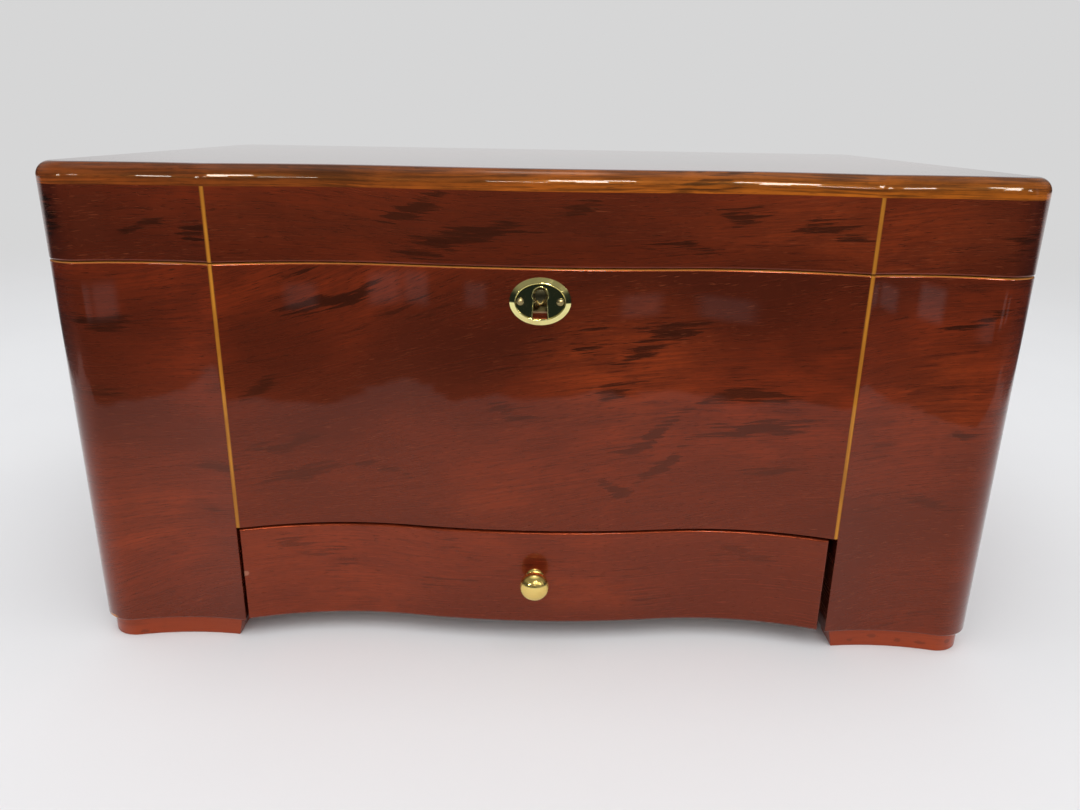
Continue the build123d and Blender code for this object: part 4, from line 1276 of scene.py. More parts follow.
def round_edges(mesh: Mesh, edges: Sequence[Edge], radius: float, segments: int) -> None:
    """Rounds edges with a quarter circle.

    Args:
        mesh: The mesh, changed in place.
        edges: The edges.
        radius: Their radius.
        segments: Number of strips in the rounding.
    """
    bmesh.ops.bevel(
        mesh, geom=list(edges), offset=radius, offset_type="OFFSET", affect="EDGES", segments=segments,
        profile=0.5, material=-1, clamp_overlap=True,
    )


def cut_off(mesh: Mesh, point: Sequence[float], outward: Sequence[float]) -> None:
    """Cuts a closed mesh with a plane, drops what lies outward and closes the cut.

    Args:
        mesh: The mesh, changed in place.
        point: A point of the plane.
        outward: The side that is dropped.
    """
    everything = mesh.verts[:] + mesh.edges[:] + mesh.faces[:]
    cut = bmesh.ops.bisect_plane(
        mesh, geom=everything, plane_co=point, plane_no=outward, clear_outer=True, dist=1e-7
    )
    edges = [item for item in cut["geom_cut"] if isinstance(item, Edge)]
    if edges:
        bmesh.ops.edgeloop_fill(mesh, edges=edges)
        bmesh.ops.recalc_face_normals(mesh, faces=mesh.faces[:])


def box_mesh(low: Sequence[float], high: Sequence[float]) -> Mesh:
    """A plain block between two corners, for cutting.

    Args:
        low: Lowest corner.
        high: Highest corner.

    Returns:
        The block.
    """
    mesh = bmesh.new()
    size = Vector(high) - Vector(low)
    middle = (Vector(high) + Vector(low)) / 2
    place = Matrix.Translation(middle) @ Matrix.Diagonal((*size, 1.0))
    bmesh.ops.create_cube(mesh, size=1.0, matrix=place)
    return mesh


def to_object(mesh: Mesh, name: str) -> Object:
    """Makes an object at the origin from a finished mesh.

    Args:
        mesh: The mesh, which is freed.
        name: The object's name.

    Returns:
        The object, linked to the scene.
    """
    data = bpy.data.meshes.new(name)
    mesh.to_mesh(data)
    mesh.free()
    thing = bpy.data.objects.new(name, data)
    bpy.context.scene.collection.objects.link(thing)
    return thing


def carve(piece: Object, cutters: Sequence[Mesh]) -> None:
    """Cuts closed shapes out of a piece.

    Args:
        piece: The piece, whose mesh is replaced.
        cutters: The shapes, which are freed.
    """
    for number, shape in enumerate(cutters):
        cutter = to_object(shape, f"{piece.name}_cutter_{number}")
        modifier = piece.modifiers.new("cut", "BOOLEAN")
        modifier.operation = "DIFFERENCE"
        modifier.solver = "EXACT"
        modifier.object = cutter
        graph = bpy.context.evaluated_depsgraph_get()
        cut = bpy.data.meshes.new_from_object(piece.evaluated_get(graph), depsgraph=graph)
        piece.modifiers.clear()
        old, piece.data = piece.data, cut
        cut.name = piece.name
        bpy.data.meshes.remove(old)
        spare = cutter.data
        bpy.data.objects.remove(cutter)
        bpy.data.meshes.remove(spare)


def merged_copy(node: str, name: str) -> Object:
    """A copy of a CAD node with its loose triangles merged and its flat faces made whole.

    Args:
        node: The node.
        name: The copy's name.

    Returns:
        The copy.
    """
    mesh = bmesh.new()
    mesh.from_mesh(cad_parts[node].data)
    bmesh.ops.remove_doubles(mesh, verts=mesh.verts[:], dist=0.002 * MM)
    bmesh.ops.dissolve_limit(
        mesh, angle_limit=math.radians(0.5), verts=mesh.verts[:], edges=mesh.edges[:]
    )
    return to_object(mesh, name)


@dataclass
class Piece:
    """What a finished piece needs besides its mesh."""

    slot: str
    replaces: Sequence[str] = ()
    smooth_angle: float = math.radians(32)
    bevel: float = 0.0


def finish_piece(thing: Object, body: Body, materials: Sequence[Material], about: Piece) -> None:
    """Smooths a piece, dresses it and hands it to its body.

    Args:
        thing: The piece.
        body: The body that it rides on.
        materials: Its materials, in the order of its faces' indices.
        about: Its slot, the nodes that it stands for and its smoothing.
    """
    skins = [min(face.material_index, len(materials) - 1) for face in thing.data.polygons]
    thing.data.materials.clear()
    for material in materials:
        thing.data.materials.append(material)
    thing.data.polygons.foreach_set("material_index", skins)
    thing.data.shade_smooth()
    thing.data.set_sharp_from_angle(angle=about.smooth_angle)
    if about.bevel > 0:
        modifier = thing.modifiers.new("eased_edges", "BEVEL")
        modifier.width = about.bevel
        modifier.segments = 2
        modifier.limit_method = "ANGLE"
        modifier.angle_limit = math.radians(40)
        modifier.harden_normals = True
    else:
        modifier = thing.modifiers.new("even_normals", "WEIGHTED_NORMAL")
        modifier.mode = "FACE_AREA"
        modifier.weight = 90
        modifier.keep_sharp = True
    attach(thing, body.value)
    if about.replaces:
        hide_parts(*about.replaces)
    log.info("%s rides on %s: %d faces", thing.name, body.value, len(thing.data.polygons))


def make_piece(
    mesh: Mesh, name: str, body: Body, materials: Sequence[Material], about: Piece,
    cutters: Sequence[Mesh] = (),
) -> None:
    """Makes a piece from its mesh, and cuts and finishes it.

    Args:
        mesh: The mesh, which is freed.
        name: The piece's name.
        body: The body that it rides on.
        materials: Its materials.
        about: Its slot, the nodes that it stands for and its smoothing.
        cutters: Shapes that are cut out of it, and freed.
    """
    thing = to_object(mesh, name)
    carve(thing, cutters)
    finish_piece(thing, body, materials, about)


def lathe(profile: Sequence[Sequence[float]], axis_point: Vector, axis: Vector, steps: int) -> Mesh:
    """Turns a profile round an axis into a closed shape.

    Args:
        profile: Points as (radius, distance along the axis), from one pole to the other.
        axis_point: A point of the axis, from which the distances count.
        axis: Its direction.
        steps: Number of steps in the full turn.

    Returns:
        The shape.
    """
    mesh = bmesh.new()
    direction = axis.normalized()
    side = direction.orthogonal().normalized()
    verts = [mesh.verts.new(axis_point + direction * along + side * radius) for radius, along in profile]
    edges = [mesh.edges.new(pair) for pair in zip(verts, verts[1:])]
    bmesh.ops.spin(
        mesh, geom=verts + edges, cent=axis_point, axis=direction, angle=FULL_TURN, steps=steps,
        use_merge=True,
    )
    bmesh.ops.remove_doubles(mesh, verts=mesh.verts[:], dist=0.001 * MM)
    bmesh.ops.recalc_face_normals(mesh, faces=mesh.faces[:])
    return mesh


def arc_points(
    centre: Sequence[float], radius: float, start: float, stop: float, count: int
) -> list[tuple[float, float]]:
    """Points of an arc in a profile.

    Args:
        centre: Its middle, as (radius, distance along the axis).
        radius: Its radius.
        start: First angle in degrees, from the direction of growing radius.
        stop: Last angle in degrees.
        count: Number of points.

    Returns:
        The points.
    """
    points = []
    for number in range(count):
        angle = math.radians(start + (stop - start) * number / (count - 1))
        points.append((centre[0] + radius * math.cos(angle), centre[1] + radius * math.sin(angle)))
    return points


class Finishes:
    """Every material of the object, built once."""

    def __init__(self, plan: Plan) -> None:
        """Builds the materials.

        Args:
            plan: The case's plan, which says where a wrapped grain turns the corner.
        """
        turn_y = plan.front_y + plan.corner
        cedar = colour(0.50, 0.27, 0.135)
        cedar_dark = colour(0.33, 0.145, 0.062)
        inner = colour(0.36, 0.21, 0.11)
        inner_dark = colour(0.22, 0.11, 0.05)
        lacquer = Lacquer()
        golden_lacquer = Lacquer(sheen=0.08, sheen_tint=colour(1.0, 0.42, 0.08))
        chip = Mark(
            (-plan.side_x + 5 * MM, plan.front_y - 0.5 * MM, 10.6 * MM), (4.5 * MM, 5 * MM, 1.1 * MM),
            colour(0.42, 0.17, 0.04),
        )
        stain = colour(0.07, 0.012, 0.005)
        foot_marks = tuple(
            Mark((x * MM, plan.front_y, z * MM), (a * MM, 9 * MM, b * MM), stain, 0.75)
            for x, z, a, b in (
                (158, 5.2, 3.4, 1.2), (170, 3.6, 1.7, 1.3), (180, 3.4, 2.6, 1.0), (148, 3.0, 1.5, 0.8),
                (192, 5.0, 1.6, 1.2), (-183, 1.8, 2.0, 0.8),
            )
        )
        patch = Mark(
            (-132.4 * MM, plan.front_y + 1.2 * MM, 34 * MM), (1.6 * MM, 3 * MM, 1.5 * MM),
            colour(0.34, 0.17, 0.11), 0.6,
        )
        self.veneer = FiguredVeneer(
            "veneer_case", seed=4.2, marks=(chip,), streaks=CASE_STREAKS,
            pale_zones_and_painted_light=CASE_PALE_ZONES_AND_PAINTED_LIGHT, dark_zones_and_painted_shade=CASE_DARK_ZONES_AND_PAINTED_SHADE,
        ).build(turn_y)
        self.drawer_veneer = FiguredVeneer(
            "veneer_drawer", seed=31.0, streak_strength=0.6, warp=0.06, slope=0.02,
            light=colour(0.165, 0.024, 0.0075), deep=colour(0.060, 0.0092, 0.0042), marks=(patch,),
            streaks=DRAWER_STREAKS, pale_zones_and_painted_light=DRAWER_ZONES,
        ).build(turn_y)
        self.lid_veneer = FiguredVeneer(
            "veneer_lid", seed=12.6, slope=0.1, light=colour(0.150, 0.0195, 0.0052),
            streaks=LID_STREAKS, pale_zones_and_painted_light=LID_PALE_ZONES_AND_PAINTED_LIGHT, dark_zones_and_painted_shade=LID_DARK_ZONES_AND_PAINTED_SHADE,
        ).build(turn_y)
        self.back_veneer = FiguredVeneer("veneer_back", run=Run.BACK, seed=51.0).build(turn_y)
        self.top_veneer = FiguredVeneer("veneer_top", run=Run.TOP, seed=77.0).build(turn_y)
        self.lipping = GoldenLipping(
            "golden_lipping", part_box("lid_top")[0].z, lacquer=golden_lacquer
        ).build(turn_y)
        self.rim_edge = StraightWood(
            "golden_rim", colour(0.50, 0.20, 0.040), colour(0.34, 0.11, 0.02), seed=15.0,
            contrast=0.5, pore_strength=0.2, bump=0.05, lacquer=golden_lacquer,
        ).build(turn_y)
        self.string = StringInlay(
            "amber_string", plan.string_spacing / 2, plan.string_width / 2, lacquer=golden_lacquer
        ).build(turn_y)
        self.foot = StraightWood(
            "foot_wood", colour(0.32, 0.050, 0.010), colour(0.16, 0.021, 0.006), seed=19.0,
            contrast=0.8, pore_strength=0.5, bump=0.1, lacquer=lacquer, marks=foot_marks,
        ).build(turn_y)
        self.cedar = StraightWood("cedar_walls", cedar, cedar_dark, seed=61.0, contrast=0.7).build(turn_y)
        self.cedar_floor = StraightWood(
            "cedar_floors", cedar, cedar_dark, run=Run.TOP, seed=67.0, contrast=0.7
        ).build(turn_y)
        self.cut_wood = StraightWood(
            "cut_wood", colour(0.50, 0.33, 0.19), colour(0.30, 0.17, 0.08), seed=7.0, contrast=0.5
        ).build(turn_y)
        self.inner_wood = StraightWood(
            "inner_wood", inner, inner_dark, seed=83.0, contrast=0.6
        ).build(turn_y)
        self.inner_floor = StraightWood(
            "inner_floor", inner, inner_dark, run=Run.TOP, seed=89.0, contrast=0.6
        ).build(turn_y)
        self.brass = PolishedBrass("polished_brass").build()
        self.brass_plate = PolishedBrass(
            "brass_plate", metal=colour(0.88, 0.80, 0.34), roughness=0.045, smudge_roughness=0.06
        ).build()
        self.knob_brass = PolishedBrass(
            "knob_brass", metal=colour(0.90, 0.68, 0.22), dull=colour(0.74, 0.52, 0.13),
            roughness=0.15, smudge_roughness=0.12,
        ).build()
        self.screw_brass = PolishedBrass(
            "screw_brass", metal=colour(0.30, 0.245, 0.12), dull=colour(0.20, 0.15, 0.07),
            roughness=0.24, smudge_roughness=0.15,
        ).build()
        # Near-black metal for the key post cap: painted shade of the keyhole's recess.
        self.post_painted_shade = PolishedBrass(
            "post_painted_shade", metal=colour(0.045, 0.040, 0.022), dull=colour(0.02, 0.018, 0.012),
            roughness=0.3, smudge_roughness=0.2,
        ).build()
        self.worn_brass = PolishedBrass(
            "worn_brass", metal=colour(0.62, 0.49, 0.21), roughness=0.22, smudge_roughness=0.2
        ).build()
        self.plastic = SatinPlastic("satin_black").build()
        self.dial = DialFace("dial_enamel", sum(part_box("hygrometer_dial"), Vector()) / 2).build()
        self.ink = SatinPlastic("dial_ink", tone=colour(0.02, 0.019, 0.018), roughness=0.5).build()
        self.glass = ClearGlass("clear_glass").build()


@dataclass
class ShapedCase:
    """The case's outer boards, sliced from one block with the plan's outline."""

    plan: Plan
    finishes: Finishes
    edge_round: float = 0.9 * MM
    edging_depth: float = 0.45 * MM
    cut_reach: float = 5 * MM
    keyhole_radius: float = 3.1 * MM
    keyhole_lift: float = 2.85 * MM
    slot_top_width: float = 5.1 * MM
    slot_foot_width: float = 6.1 * MM
    slot_drop: float = 7.0 * MM
    wood_slot_shorter: float = 2.2 * MM
    mortise_inset: float = 0.9 * MM
    leaf_seat: float = 1.8 * MM

    def slice(
        self, low: Sequence[float], high: Sequence[float], round_low: bool, round_high: bool
    ) -> Mesh:
        """Part of the case's block, between two corners, with its outline edges rounded.

        Args:
            low: Lowest corner; None where the outline itself ends it.
            high: Highest corner; None where the outline itself ends it.
            round_low: Whether the lower outline edge is rounded.
            round_high: Whether the upper one is, and takes the second material as an edging.

        Returns:
            The closed mesh.
        """
        mesh = plan_face(self.plan, low[2])
        raise_face(mesh, UP * (high[2] - low[2]))
        if round_low:
            round_edges(mesh, level_edges(mesh, low[2]), self.edge_round, 4)
        if round_high:
            round_edges(mesh, level_edges(mesh, high[2]), self.edge_round, 4)
            bmesh.ops.bisect_plane(
                mesh, geom=[*mesh.verts, *mesh.edges, *mesh.faces],
                plane_co=(0, 0, high[2] - self.edging_depth), plane_no=(0, 0, 1),
            )
        for corner, sign in ((low, -1.0), (high, 1.0)):
            for axis in (0, 1):
                if corner[axis] is None:
                    continue
                point = Vector((0, 0, low[2]))
                point[axis] = corner[axis]
                outward = Vector((0, 0, 0))
                outward[axis] = sign
                cut_off(mesh, point, outward)
        if round_high:
            for face in mesh.faces:
                if face.calc_center_median().z > high[2] - self.edging_depth:
                    face.material_index = 1
        return mesh

    def keyhole_cutters(self, middle: Vector, reach: float, shorten: float = 0.0) -> list[Mesh]:
        """The keyhole's round part and its slot, as shapes to cut with.

        Args:
            middle: Middle of the escutcheon, on the wood.
            reach: How far the cut goes in front of and behind that point.
            shorten: How much higher the slot ends.

        Returns:
            The two shapes.
        """
        round_part = bmesh.new()
        turn = Matrix.Translation(middle + UP * self.keyhole_lift) @ Matrix.Rotation(math.pi / 2, 4, "X")
        bmesh.ops.create_cone(
            round_part, cap_ends=True, segments=40, radius1=self.keyhole_radius,
            radius2=self.keyhole_radius, depth=2 * reach, matrix=turn,
        )
        slot_part = bmesh.new()
        corners = (
            (-self.slot_top_width / 2, self.keyhole_lift),
            (-self.slot_foot_width / 2, shorten - self.slot_drop),
            (self.slot_foot_width / 2, shorten - self.slot_drop),
            (self.slot_top_width / 2, self.keyhole_lift),
        )
        slot_part.faces.new([slot_part.verts.new(middle + Vector((x, -reach, z))) for x, z in corners])
        raise_face(slot_part, (0, 2 * reach, 0))
        return [round_part, slot_part]

    def build(self) -> None:
        """Builds the front, the pillars, the sides and the back of the case."""
        plan, finishes = self.plan, self.finishes
        low_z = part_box("body_front")[0].z
        rim_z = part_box("body_front")[1].z
        opening_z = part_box("chamber_floor")[0].z
        inner_front_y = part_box("body_front")[1].y
        inner_back_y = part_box("body_back")[0].y
        inner_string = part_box("body_strings")[1].x - plan.string_width
        skins = (finishes.veneer, finishes.rim_edge)

        panel = self.slice(
            (-inner_string, None, opening_z), (inner_string, inner_front_y, rim_z), False, True
        )
        front = to_object(panel, "front_panel")
        lock_low, lock_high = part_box("lock_case")
        escutcheon_low, escutcheon_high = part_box("escutcheon")
        middle = (escutcheon_low + escutcheon_high) / 2
        middle.y = escutcheon_high.y
        plate_low, plate_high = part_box("lock_face_plate")
        mortise_y = plate_low.y + self.mortise_inset
        mortise = box_mesh((lock_low.x, mortise_y, lock_low.z), (*lock_high.xy, rim_z + self.cut_reach))
        plate = box_mesh(plate_low, plate_high + UP * self.cut_reach)
        reach = mortise_y - escutcheon_high.y + 0.5 * MM
        keyhole = self.keyhole_cutters(middle, reach, self.wood_slot_shorter)
        carve(front, [mortise, plate, *keyhole])
        for face in front.data.polygons:
            if face.center.z > rim_z - self.edging_depth:
                face.material_index = 1
            aside = Vector(face.center) - middle
            near_hole = abs(aside.x) < 4 * MM and abs(aside.z) < 8 * MM
            if near_hole and abs(face.normal.y) < 0.5 and aside.y > 0.2 * MM:
                face.material_index = 2
        bare = (*skins, finishes.cut_wood)
        finish_piece(front, Body.CASE, bare, Piece("veneer", ("body_front",)))

        for word, side in SIDES.items():
            low_x, high_x = sorted((side * plan.opening_half, side * plan.side_x))
            pillar = self.slice(
                (low_x if side > 0 else None, None, low_z),
                (high_x if side < 0 else None, inner_front_y, rim_z), True, True,
            )
            make_piece(pillar, f"pillar_{word}", Body.CASE, skins, Piece("veneer"))

            inner_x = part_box("lining_left")[0].x * -side
            board = self.slice(
                (inner_x if side > 0 else None, inner_front_y, low_z),
                (inner_x if side < 0 else None, inner_back_y, rim_z), True, True,
            )
            about = Piece("veneer", (f"body_{word}_side",))
            make_piece(board, f"side_{word}", Body.CASE, skins, about)

        back = self.slice((None, inner_back_y, low_z), (None, None, rim_z), True, True)
        seats = [self.leaf_recess(f"hinge_body_leaf_{word}", in_lid=False) for word in SIDES]
        skins = (finishes.back_veneer, finishes.rim_edge)
        about = Piece("veneer", ("body_back",))
        make_piece(back, "back_board", Body.CASE, skins, about, seats)

    def leaf_recess(self, node: str, in_lid: bool) -> Mesh:
        """Block that clears the seat of a hinge's leaf in the back's edge.

        Args:
            node: The leaf's CAD node.
            in_lid: Whether the leaf is the lid's.

        Returns:
            The block.
        """
        low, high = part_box(node)
        if in_lid:
            seam, below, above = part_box("hinge_lid_screws")[0].z, self.cut_reach, self.leaf_seat
        else:
            seam, below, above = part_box("hinge_body_screws")[1].z, self.leaf_seat, self.cut_reach
        return box_mesh((*low.xy, seam - below), (high.x, high.y + self.cut_reach, seam + above))


@dataclass
class ShapedLid(ShapedCase):
    """The lid: the case's outline carried up, under a top board with a rounded golden edge."""

    top_flat: float = 2.5 * MM
    top_segments: int = 10

    def build(self) -> None:
        """Builds the lid's walls and its top board."""
        plan, finishes = self.plan, self.finishes
        low_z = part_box("lid_front")[0].z
        wall_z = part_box("lid_top")[0].z
        top_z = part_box("lid_top")[1].z
        inner_front_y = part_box("lid_front")[1].y
        inner_back_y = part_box("lid_back")[0].y
        inner_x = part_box("lid_ceiling")[1].x
        inner_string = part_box("lid_strings")[1].x - plan.string_width
        outer_string = plan.opening_half
        skins = (finishes.lid_veneer,)

        spans = {
            "left": (None, -outer_string),
            "middle": (-inner_string, inner_string),
            "right": (outer_string, None),
        }
        for word, (low_x, high_x) in spans.items():
            wall = self.slice((low_x, None, low_z), (high_x, inner_front_y, wall_z), True, False)
            about, seats = Piece("veneer"), []
            if word == "middle":
                about = Piece("veneer", ("lid_front",))
                strike_low, strike_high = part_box("strike_plate")
                seats = [box_mesh((*strike_low.xy, low_z - self.cut_reach), strike_high)]
            make_piece(wall, f"lid_wall_{word}", Body.LID, skins, about, seats)

        for word, side in SIDES.items():
            board = self.slice(
                (inner_x if side > 0 else None, inner_front_y, low_z),
                (-inner_x if side < 0 else None, inner_back_y, wall_z), True, False,
            )
            about = Piece("veneer", (f"lid_{word}_side",))
            make_piece(board, f"lid_side_{word}", Body.LID, skins, about)

        back = self.slice((None, inner_back_y, low_z), (None, None, wall_z), True, False)
        seats = [self.leaf_recess(f"hinge_lid_leaf_{word}", in_lid=True) for word in SIDES]
        about = Piece("veneer", ("lid_back",))
        make_piece(back, "lid_back_wall", Body.LID, (finishes.back_veneer,), about, seats)

        top = plan_face(plan, wall_z)
        raise_face(top, UP * (top_z - wall_z))
        radius = top_z - wall_z - self.top_flat
        round_edges(top, level_edges(top, top_z), radius, self.top_segments)
        for face in top.faces:
            face.material_index = 1 if face.normal.z > 0.93 else 0
        about = Piece("lipping", ("lid_top",))
        make_piece(top, "top_board", Body.LID, (finishes.lipping, finishes.top_veneer), about)


@dataclass
class Drawer:
    """The drawer's wavy front and its flattened ball knob."""

    plan: Plan
    finishes: Finishes
    shift_x: float = -1.25 * MM
    setback: float = 0.6 * MM
    half_width: float = 132.15 * MM
    edge_round: float = 1.2 * MM
    head_radius: float = 6.7 * MM
    head_half_thickness: float = 4.8 * MM
    stand: float = 8.9 * MM
    neck_radius: float = 2.5 * MM
    flange_radius: float = 4.2 * MM
    flange_thickness: float = 2.1 * MM

    def build(self) -> None:
        """Builds the front and the knob."""
        self.build_front()
        self.build_knob()

    def build_front(self) -> None:
        """Builds the drawer's front, with its outer edges rounded."""
        plan = self.plan
        low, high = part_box("drawer_front")
        left_x = self.shift_x - self.half_width
        right_x = self.shift_x + self.half_width
        face_y = plan.front_y + self.setback
        wire = Wire((left_x, face_y), low.z, plan.step)
        add_wave(wire, plan, self.half_width, (self.shift_x, self.setback))
        wire.line(right_x, high.y)
        wire.line(left_x, high.y)
        mesh = wire.close()
        raise_face(mesh, UP * (high.z - low.z))
        near = 0.01 * MM
        inner_y = high.y - near
        outer = []
        for edge in mesh.edges:
            first, second = (vertex.co for vertex in edge.verts)
            level = abs(first.z - second.z) < near
            in_depth = abs(first.y - second.y) > plan.wave_depth
            at_back = min(first.y, second.y) > inner_y
            upright_end = not level and abs(abs(first.x - self.shift_x) - self.half_width) < near
            if not at_back and not in_depth and (level or upright_end):
                outer.append(edge)
        round_edges(mesh, outer, self.edge_round, 5)
        about = Piece("veneer", ("drawer_front",))
        make_piece(mesh, "drawer_face", Body.DRAWER, (self.finishes.drawer_veneer,), about)

    def build_knob(self) -> None:
        """Turns the flattened knob with its neck and flange."""
        low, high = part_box("knob")
        middle = (low + high) / 2
        base = Vector((middle.x, high.y, middle.z))
        swell = self.flange_thickness / self.flange_radius
        end = math.degrees(math.acos(self.neck_radius / self.flange_radius))
        collar = arc_points((0.0, 0.0), self.flange_radius, 0, end, 14)
        profile = [(0.0, 0.0)]
        profile += [(radius, along * swell) for radius, along in collar]
        meet = math.degrees(math.asin(self.neck_radius / self.head_radius))
        flatness = self.head_half_thickness / self.head_radius
        head = arc_points((0.0, 0.0), self.head_radius, -90 + meet, 90, 40)
        profile += [(radius, self.stand + along * flatness) for radius, along in head]
        mesh = lathe(profile, base, FORWARD, 72)
        about = Piece("brass", ("knob",), smooth_angle=math.radians(50))
        make_piece(mesh, "drawer_knob", Body.DRAWER, (self.finishes.knob_brass,), about)


@dataclass
class Escutcheon:
    """The oval keyhole plate: a rounded rim, a mirror field, a thin lip and two domed screws."""

    case: ShapedCase
    finishes: Finishes
    rim_width: float = 2.3 * MM
    rim_fall: float = 1.15 * MM
    crest_height: float = 1.6 * MM
    field_height: float = 1.1 * MM
    wall_width: float = 0.3 * MM
    lip_width: float = 0.45 * MM
    lip_height: float = 0.4 * MM
    screw_radius: float = 1.55 * MM
    screw_height: float = 0.8 * MM
    screw_slot_half: float = 0.16 * MM
    post_radius: float = 2.3 * MM
    post_sink: float = 0.9 * MM
    crest_round: float = 0.3 * MM
    lip_round: float = 0.14 * MM
    segments: int = 96

    def build(self) -> None:
        """Builds the plate, its keyhole lip and its screws."""
        low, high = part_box("escutcheon")
        middle = (low + high) / 2
        back_y = high.y
        half = (high - low) / 2
        upright = Matrix.Translation((middle.x, back_y, middle.z)) @ Matrix.Rotation(math.pi / 2, 4, "X")
        oval = upright @ Matrix.Diagonal((half.x, half.z, 1.0, 1.0))
        mesh = bmesh.new()
        bmesh.ops.create_circle(mesh, cap_ends=True, segments=self.segments, radius=1.0, matrix=oval)
        raise_face(mesh, FORWARD * self.crest_height)
        face = self.front_face(mesh)
        outline = list(face.edges)
        bmesh.ops.inset_region(mesh, faces=[face], thickness=self.rim_width, use_even_offset=True)
        face = self.front_face(mesh)
        crest = list(face.edges)
        bmesh.ops.inset_region(mesh, faces=[face], thickness=self.wall_width, use_even_offset=True)
        face = self.front_face(mesh)
        drop = self.crest_height - self.field_height
        bmesh.ops.translate(mesh, verts=list(face.verts), vec=(0, drop, 0))
        rim = list({vertex for edge in outline for vertex in edge.verts})
        bmesh.ops.translate(mesh, verts=rim, vec=(0, self.rim_fall, 0))
        round_edges(mesh, crest, self.crest_round, 4)
        centre = Vector((middle.x, back_y, middle.z))
        keyhole = self.case.keyhole_cutters(centre, 2 * self.crest_height)
        about = Piece("brass", ("escutcheon",), smooth_angle=math.radians(40))
        make_piece(mesh, "keyhole_plate", Body.CASE, (self.finishes.brass_plate,), about, keyhole)
        field_y = back_y - self.field_height
        self.build_lip(Vector((middle.x, field_y, middle.z)))
        self.build_screws(field_y)
        self.build_post(middle)

    def front_face(self, mesh: Mesh) -> bmesh.types.BMFace:
        """The plate's foremost whole face.

        Args:
            mesh: The plate's mesh.

        Returns:
            The face.
        """
        whole = [item for item in mesh.faces if len(item.verts) == self.segments]
        return min(whole, key=lambda item: item.calc_center_median().y)

    def build_post(self, middle: Vector) -> None:
        """Caps the lock's key post, which shows in the keyhole's round part.

        Args:
            middle: Middle of the escutcheon.
        """
        case = self.case
        front_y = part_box("lock_case")[0].y
        dome = arc_radius(self.post_radius, 0.25 * MM)
        spread = math.degrees(math.asin(self.post_radius / dome))
        profile = [(0.0, -self.post_sink), (self.post_radius, -self.post_sink)]
        profile += arc_points((0.0, 0.3 * MM - dome), dome, 90 - spread, 90, 10)
        place = Vector((middle.x, front_y, middle.z + case.keyhole_lift - 0.35 * MM))
        mesh = lathe(profile, place, FORWARD, 40)
        # The cap's near-black finish is painted shade inside the keyhole.
        make_piece(mesh, "key_post_cap", Body.CASE, (self.finishes.post_painted_shade,), Piece("brass"))

    def keyhole_loop(self, mesh: Mesh, middle: Vector, grow: float) -> list[Edge]:
        """Draws the keyhole's outline, grown evenly, facing the front.

        Args:
            mesh: The mesh that takes it.
            middle: Middle of the escutcheon, at the outline's depth.
            grow: How far it is grown.

        Returns:
            The outline's edges.
        """
        case = self.case
        radius = case.keyhole_radius + grow
        half_top = case.slot_top_width / 2 + grow
        half_foot = case.slot_foot_width / 2 + grow
        meet = math.acos(half_top / radius)
        round_middle = middle + UP * case.keyhole_lift
        start = mesh.verts.new(round_middle + Vector((half_top, 0, -radius * math.sin(meet))))
        swept = bmesh.ops.spin(
            mesh, geom=[start], cent=round_middle, axis=(0, -1, 0), angle=math.pi + 2 * meet, steps=36
        )
        end = [item for item in swept["geom_last"] if isinstance(item, Vert)][0]
        foot_z = middle.z - case.slot_drop - grow
        corners = [mesh.verts.new((middle.x + side * half_foot, middle.y, foot_z)) for side in (-1, 1)]
        for pair in ((end, corners[0]), corners, (corners[1], start)):
            mesh.edges.new(pair)
        mesh.verts.ensure_lookup_table()
        return mesh.edges[:]

    def build_lip(self, middle: Vector) -> None:
        """Raises the thin lip round the keyhole.

        Args:
            middle: Middle of the escutcheon, on its field.
        """
        mesh = bmesh.new()
        inner = self.keyhole_loop(mesh, middle, 0.02 * MM)
        known = set(inner)
        outer = [edge for edge in self.keyhole_loop(mesh, middle, self.lip_width) if edge not in known]
        bmesh.ops.bridge_loops(mesh, edges=inner + outer)
        raise_face(mesh, FORWARD * self.lip_height)
        near = 0.01 * MM
        crest = [
            edge
            for edge in mesh.edges
            if all(abs(vertex.co.y - middle.y + self.lip_height) < near for vertex in edge.verts)
            and len({round(face.normal.y, 2) for face in edge.link_faces}) > 1
        ]
        round_edges(mesh, crest, self.lip_round, 3)
        make_piece(mesh, "keyhole_lip", Body.CASE, (self.finishes.brass_plate,), Piece("brass"))

    def build_screws(self, field_y: float) -> None:
        """Sets the two domed screws with their slots.

        Args:
            field_y: Depth of the plate's field.
        """
        low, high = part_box("escutcheon_screws")
        key_z = (low.z + high.z) / 2
        xs = (low.x + self.screw_radius, high.x - self.screw_radius)
        for x, word in zip(xs, SIDES):
            dome = arc_radius(self.screw_radius, self.screw_height * 0.8)
            rim = self.screw_height * 0.2
            spread = math.degrees(math.asin(self.screw_radius / dome))
            profile = [(0.0, -4.0 * MM), (0.8 * MM, -4.0 * MM), (0.8 * MM, 0.0)]
            profile += [(self.screw_radius, 0.0), (self.screw_radius, rim)]
            centre = (0.0, self.screw_height - dome)
            profile += arc_points(centre, dome, 90 - spread, 90, 10)[1:]
            mesh = lathe(profile, Vector((x, field_y, key_z)), FORWARD, 40)
            slot = box_mesh(
                (x - 2 * MM, field_y - 2 * MM, key_z - self.screw_slot_half),
                (x + 2 * MM, field_y - self.screw_height + 0.35 * MM, key_z + self.screw_slot_half),
            )
            about = Piece("brass", ("escutcheon_screws",) if word == "left" else ())
            brass = (self.finishes.screw_brass,)
            make_piece(mesh, f"plate_screw_{word}", Body.CASE, brass, about, [slot])


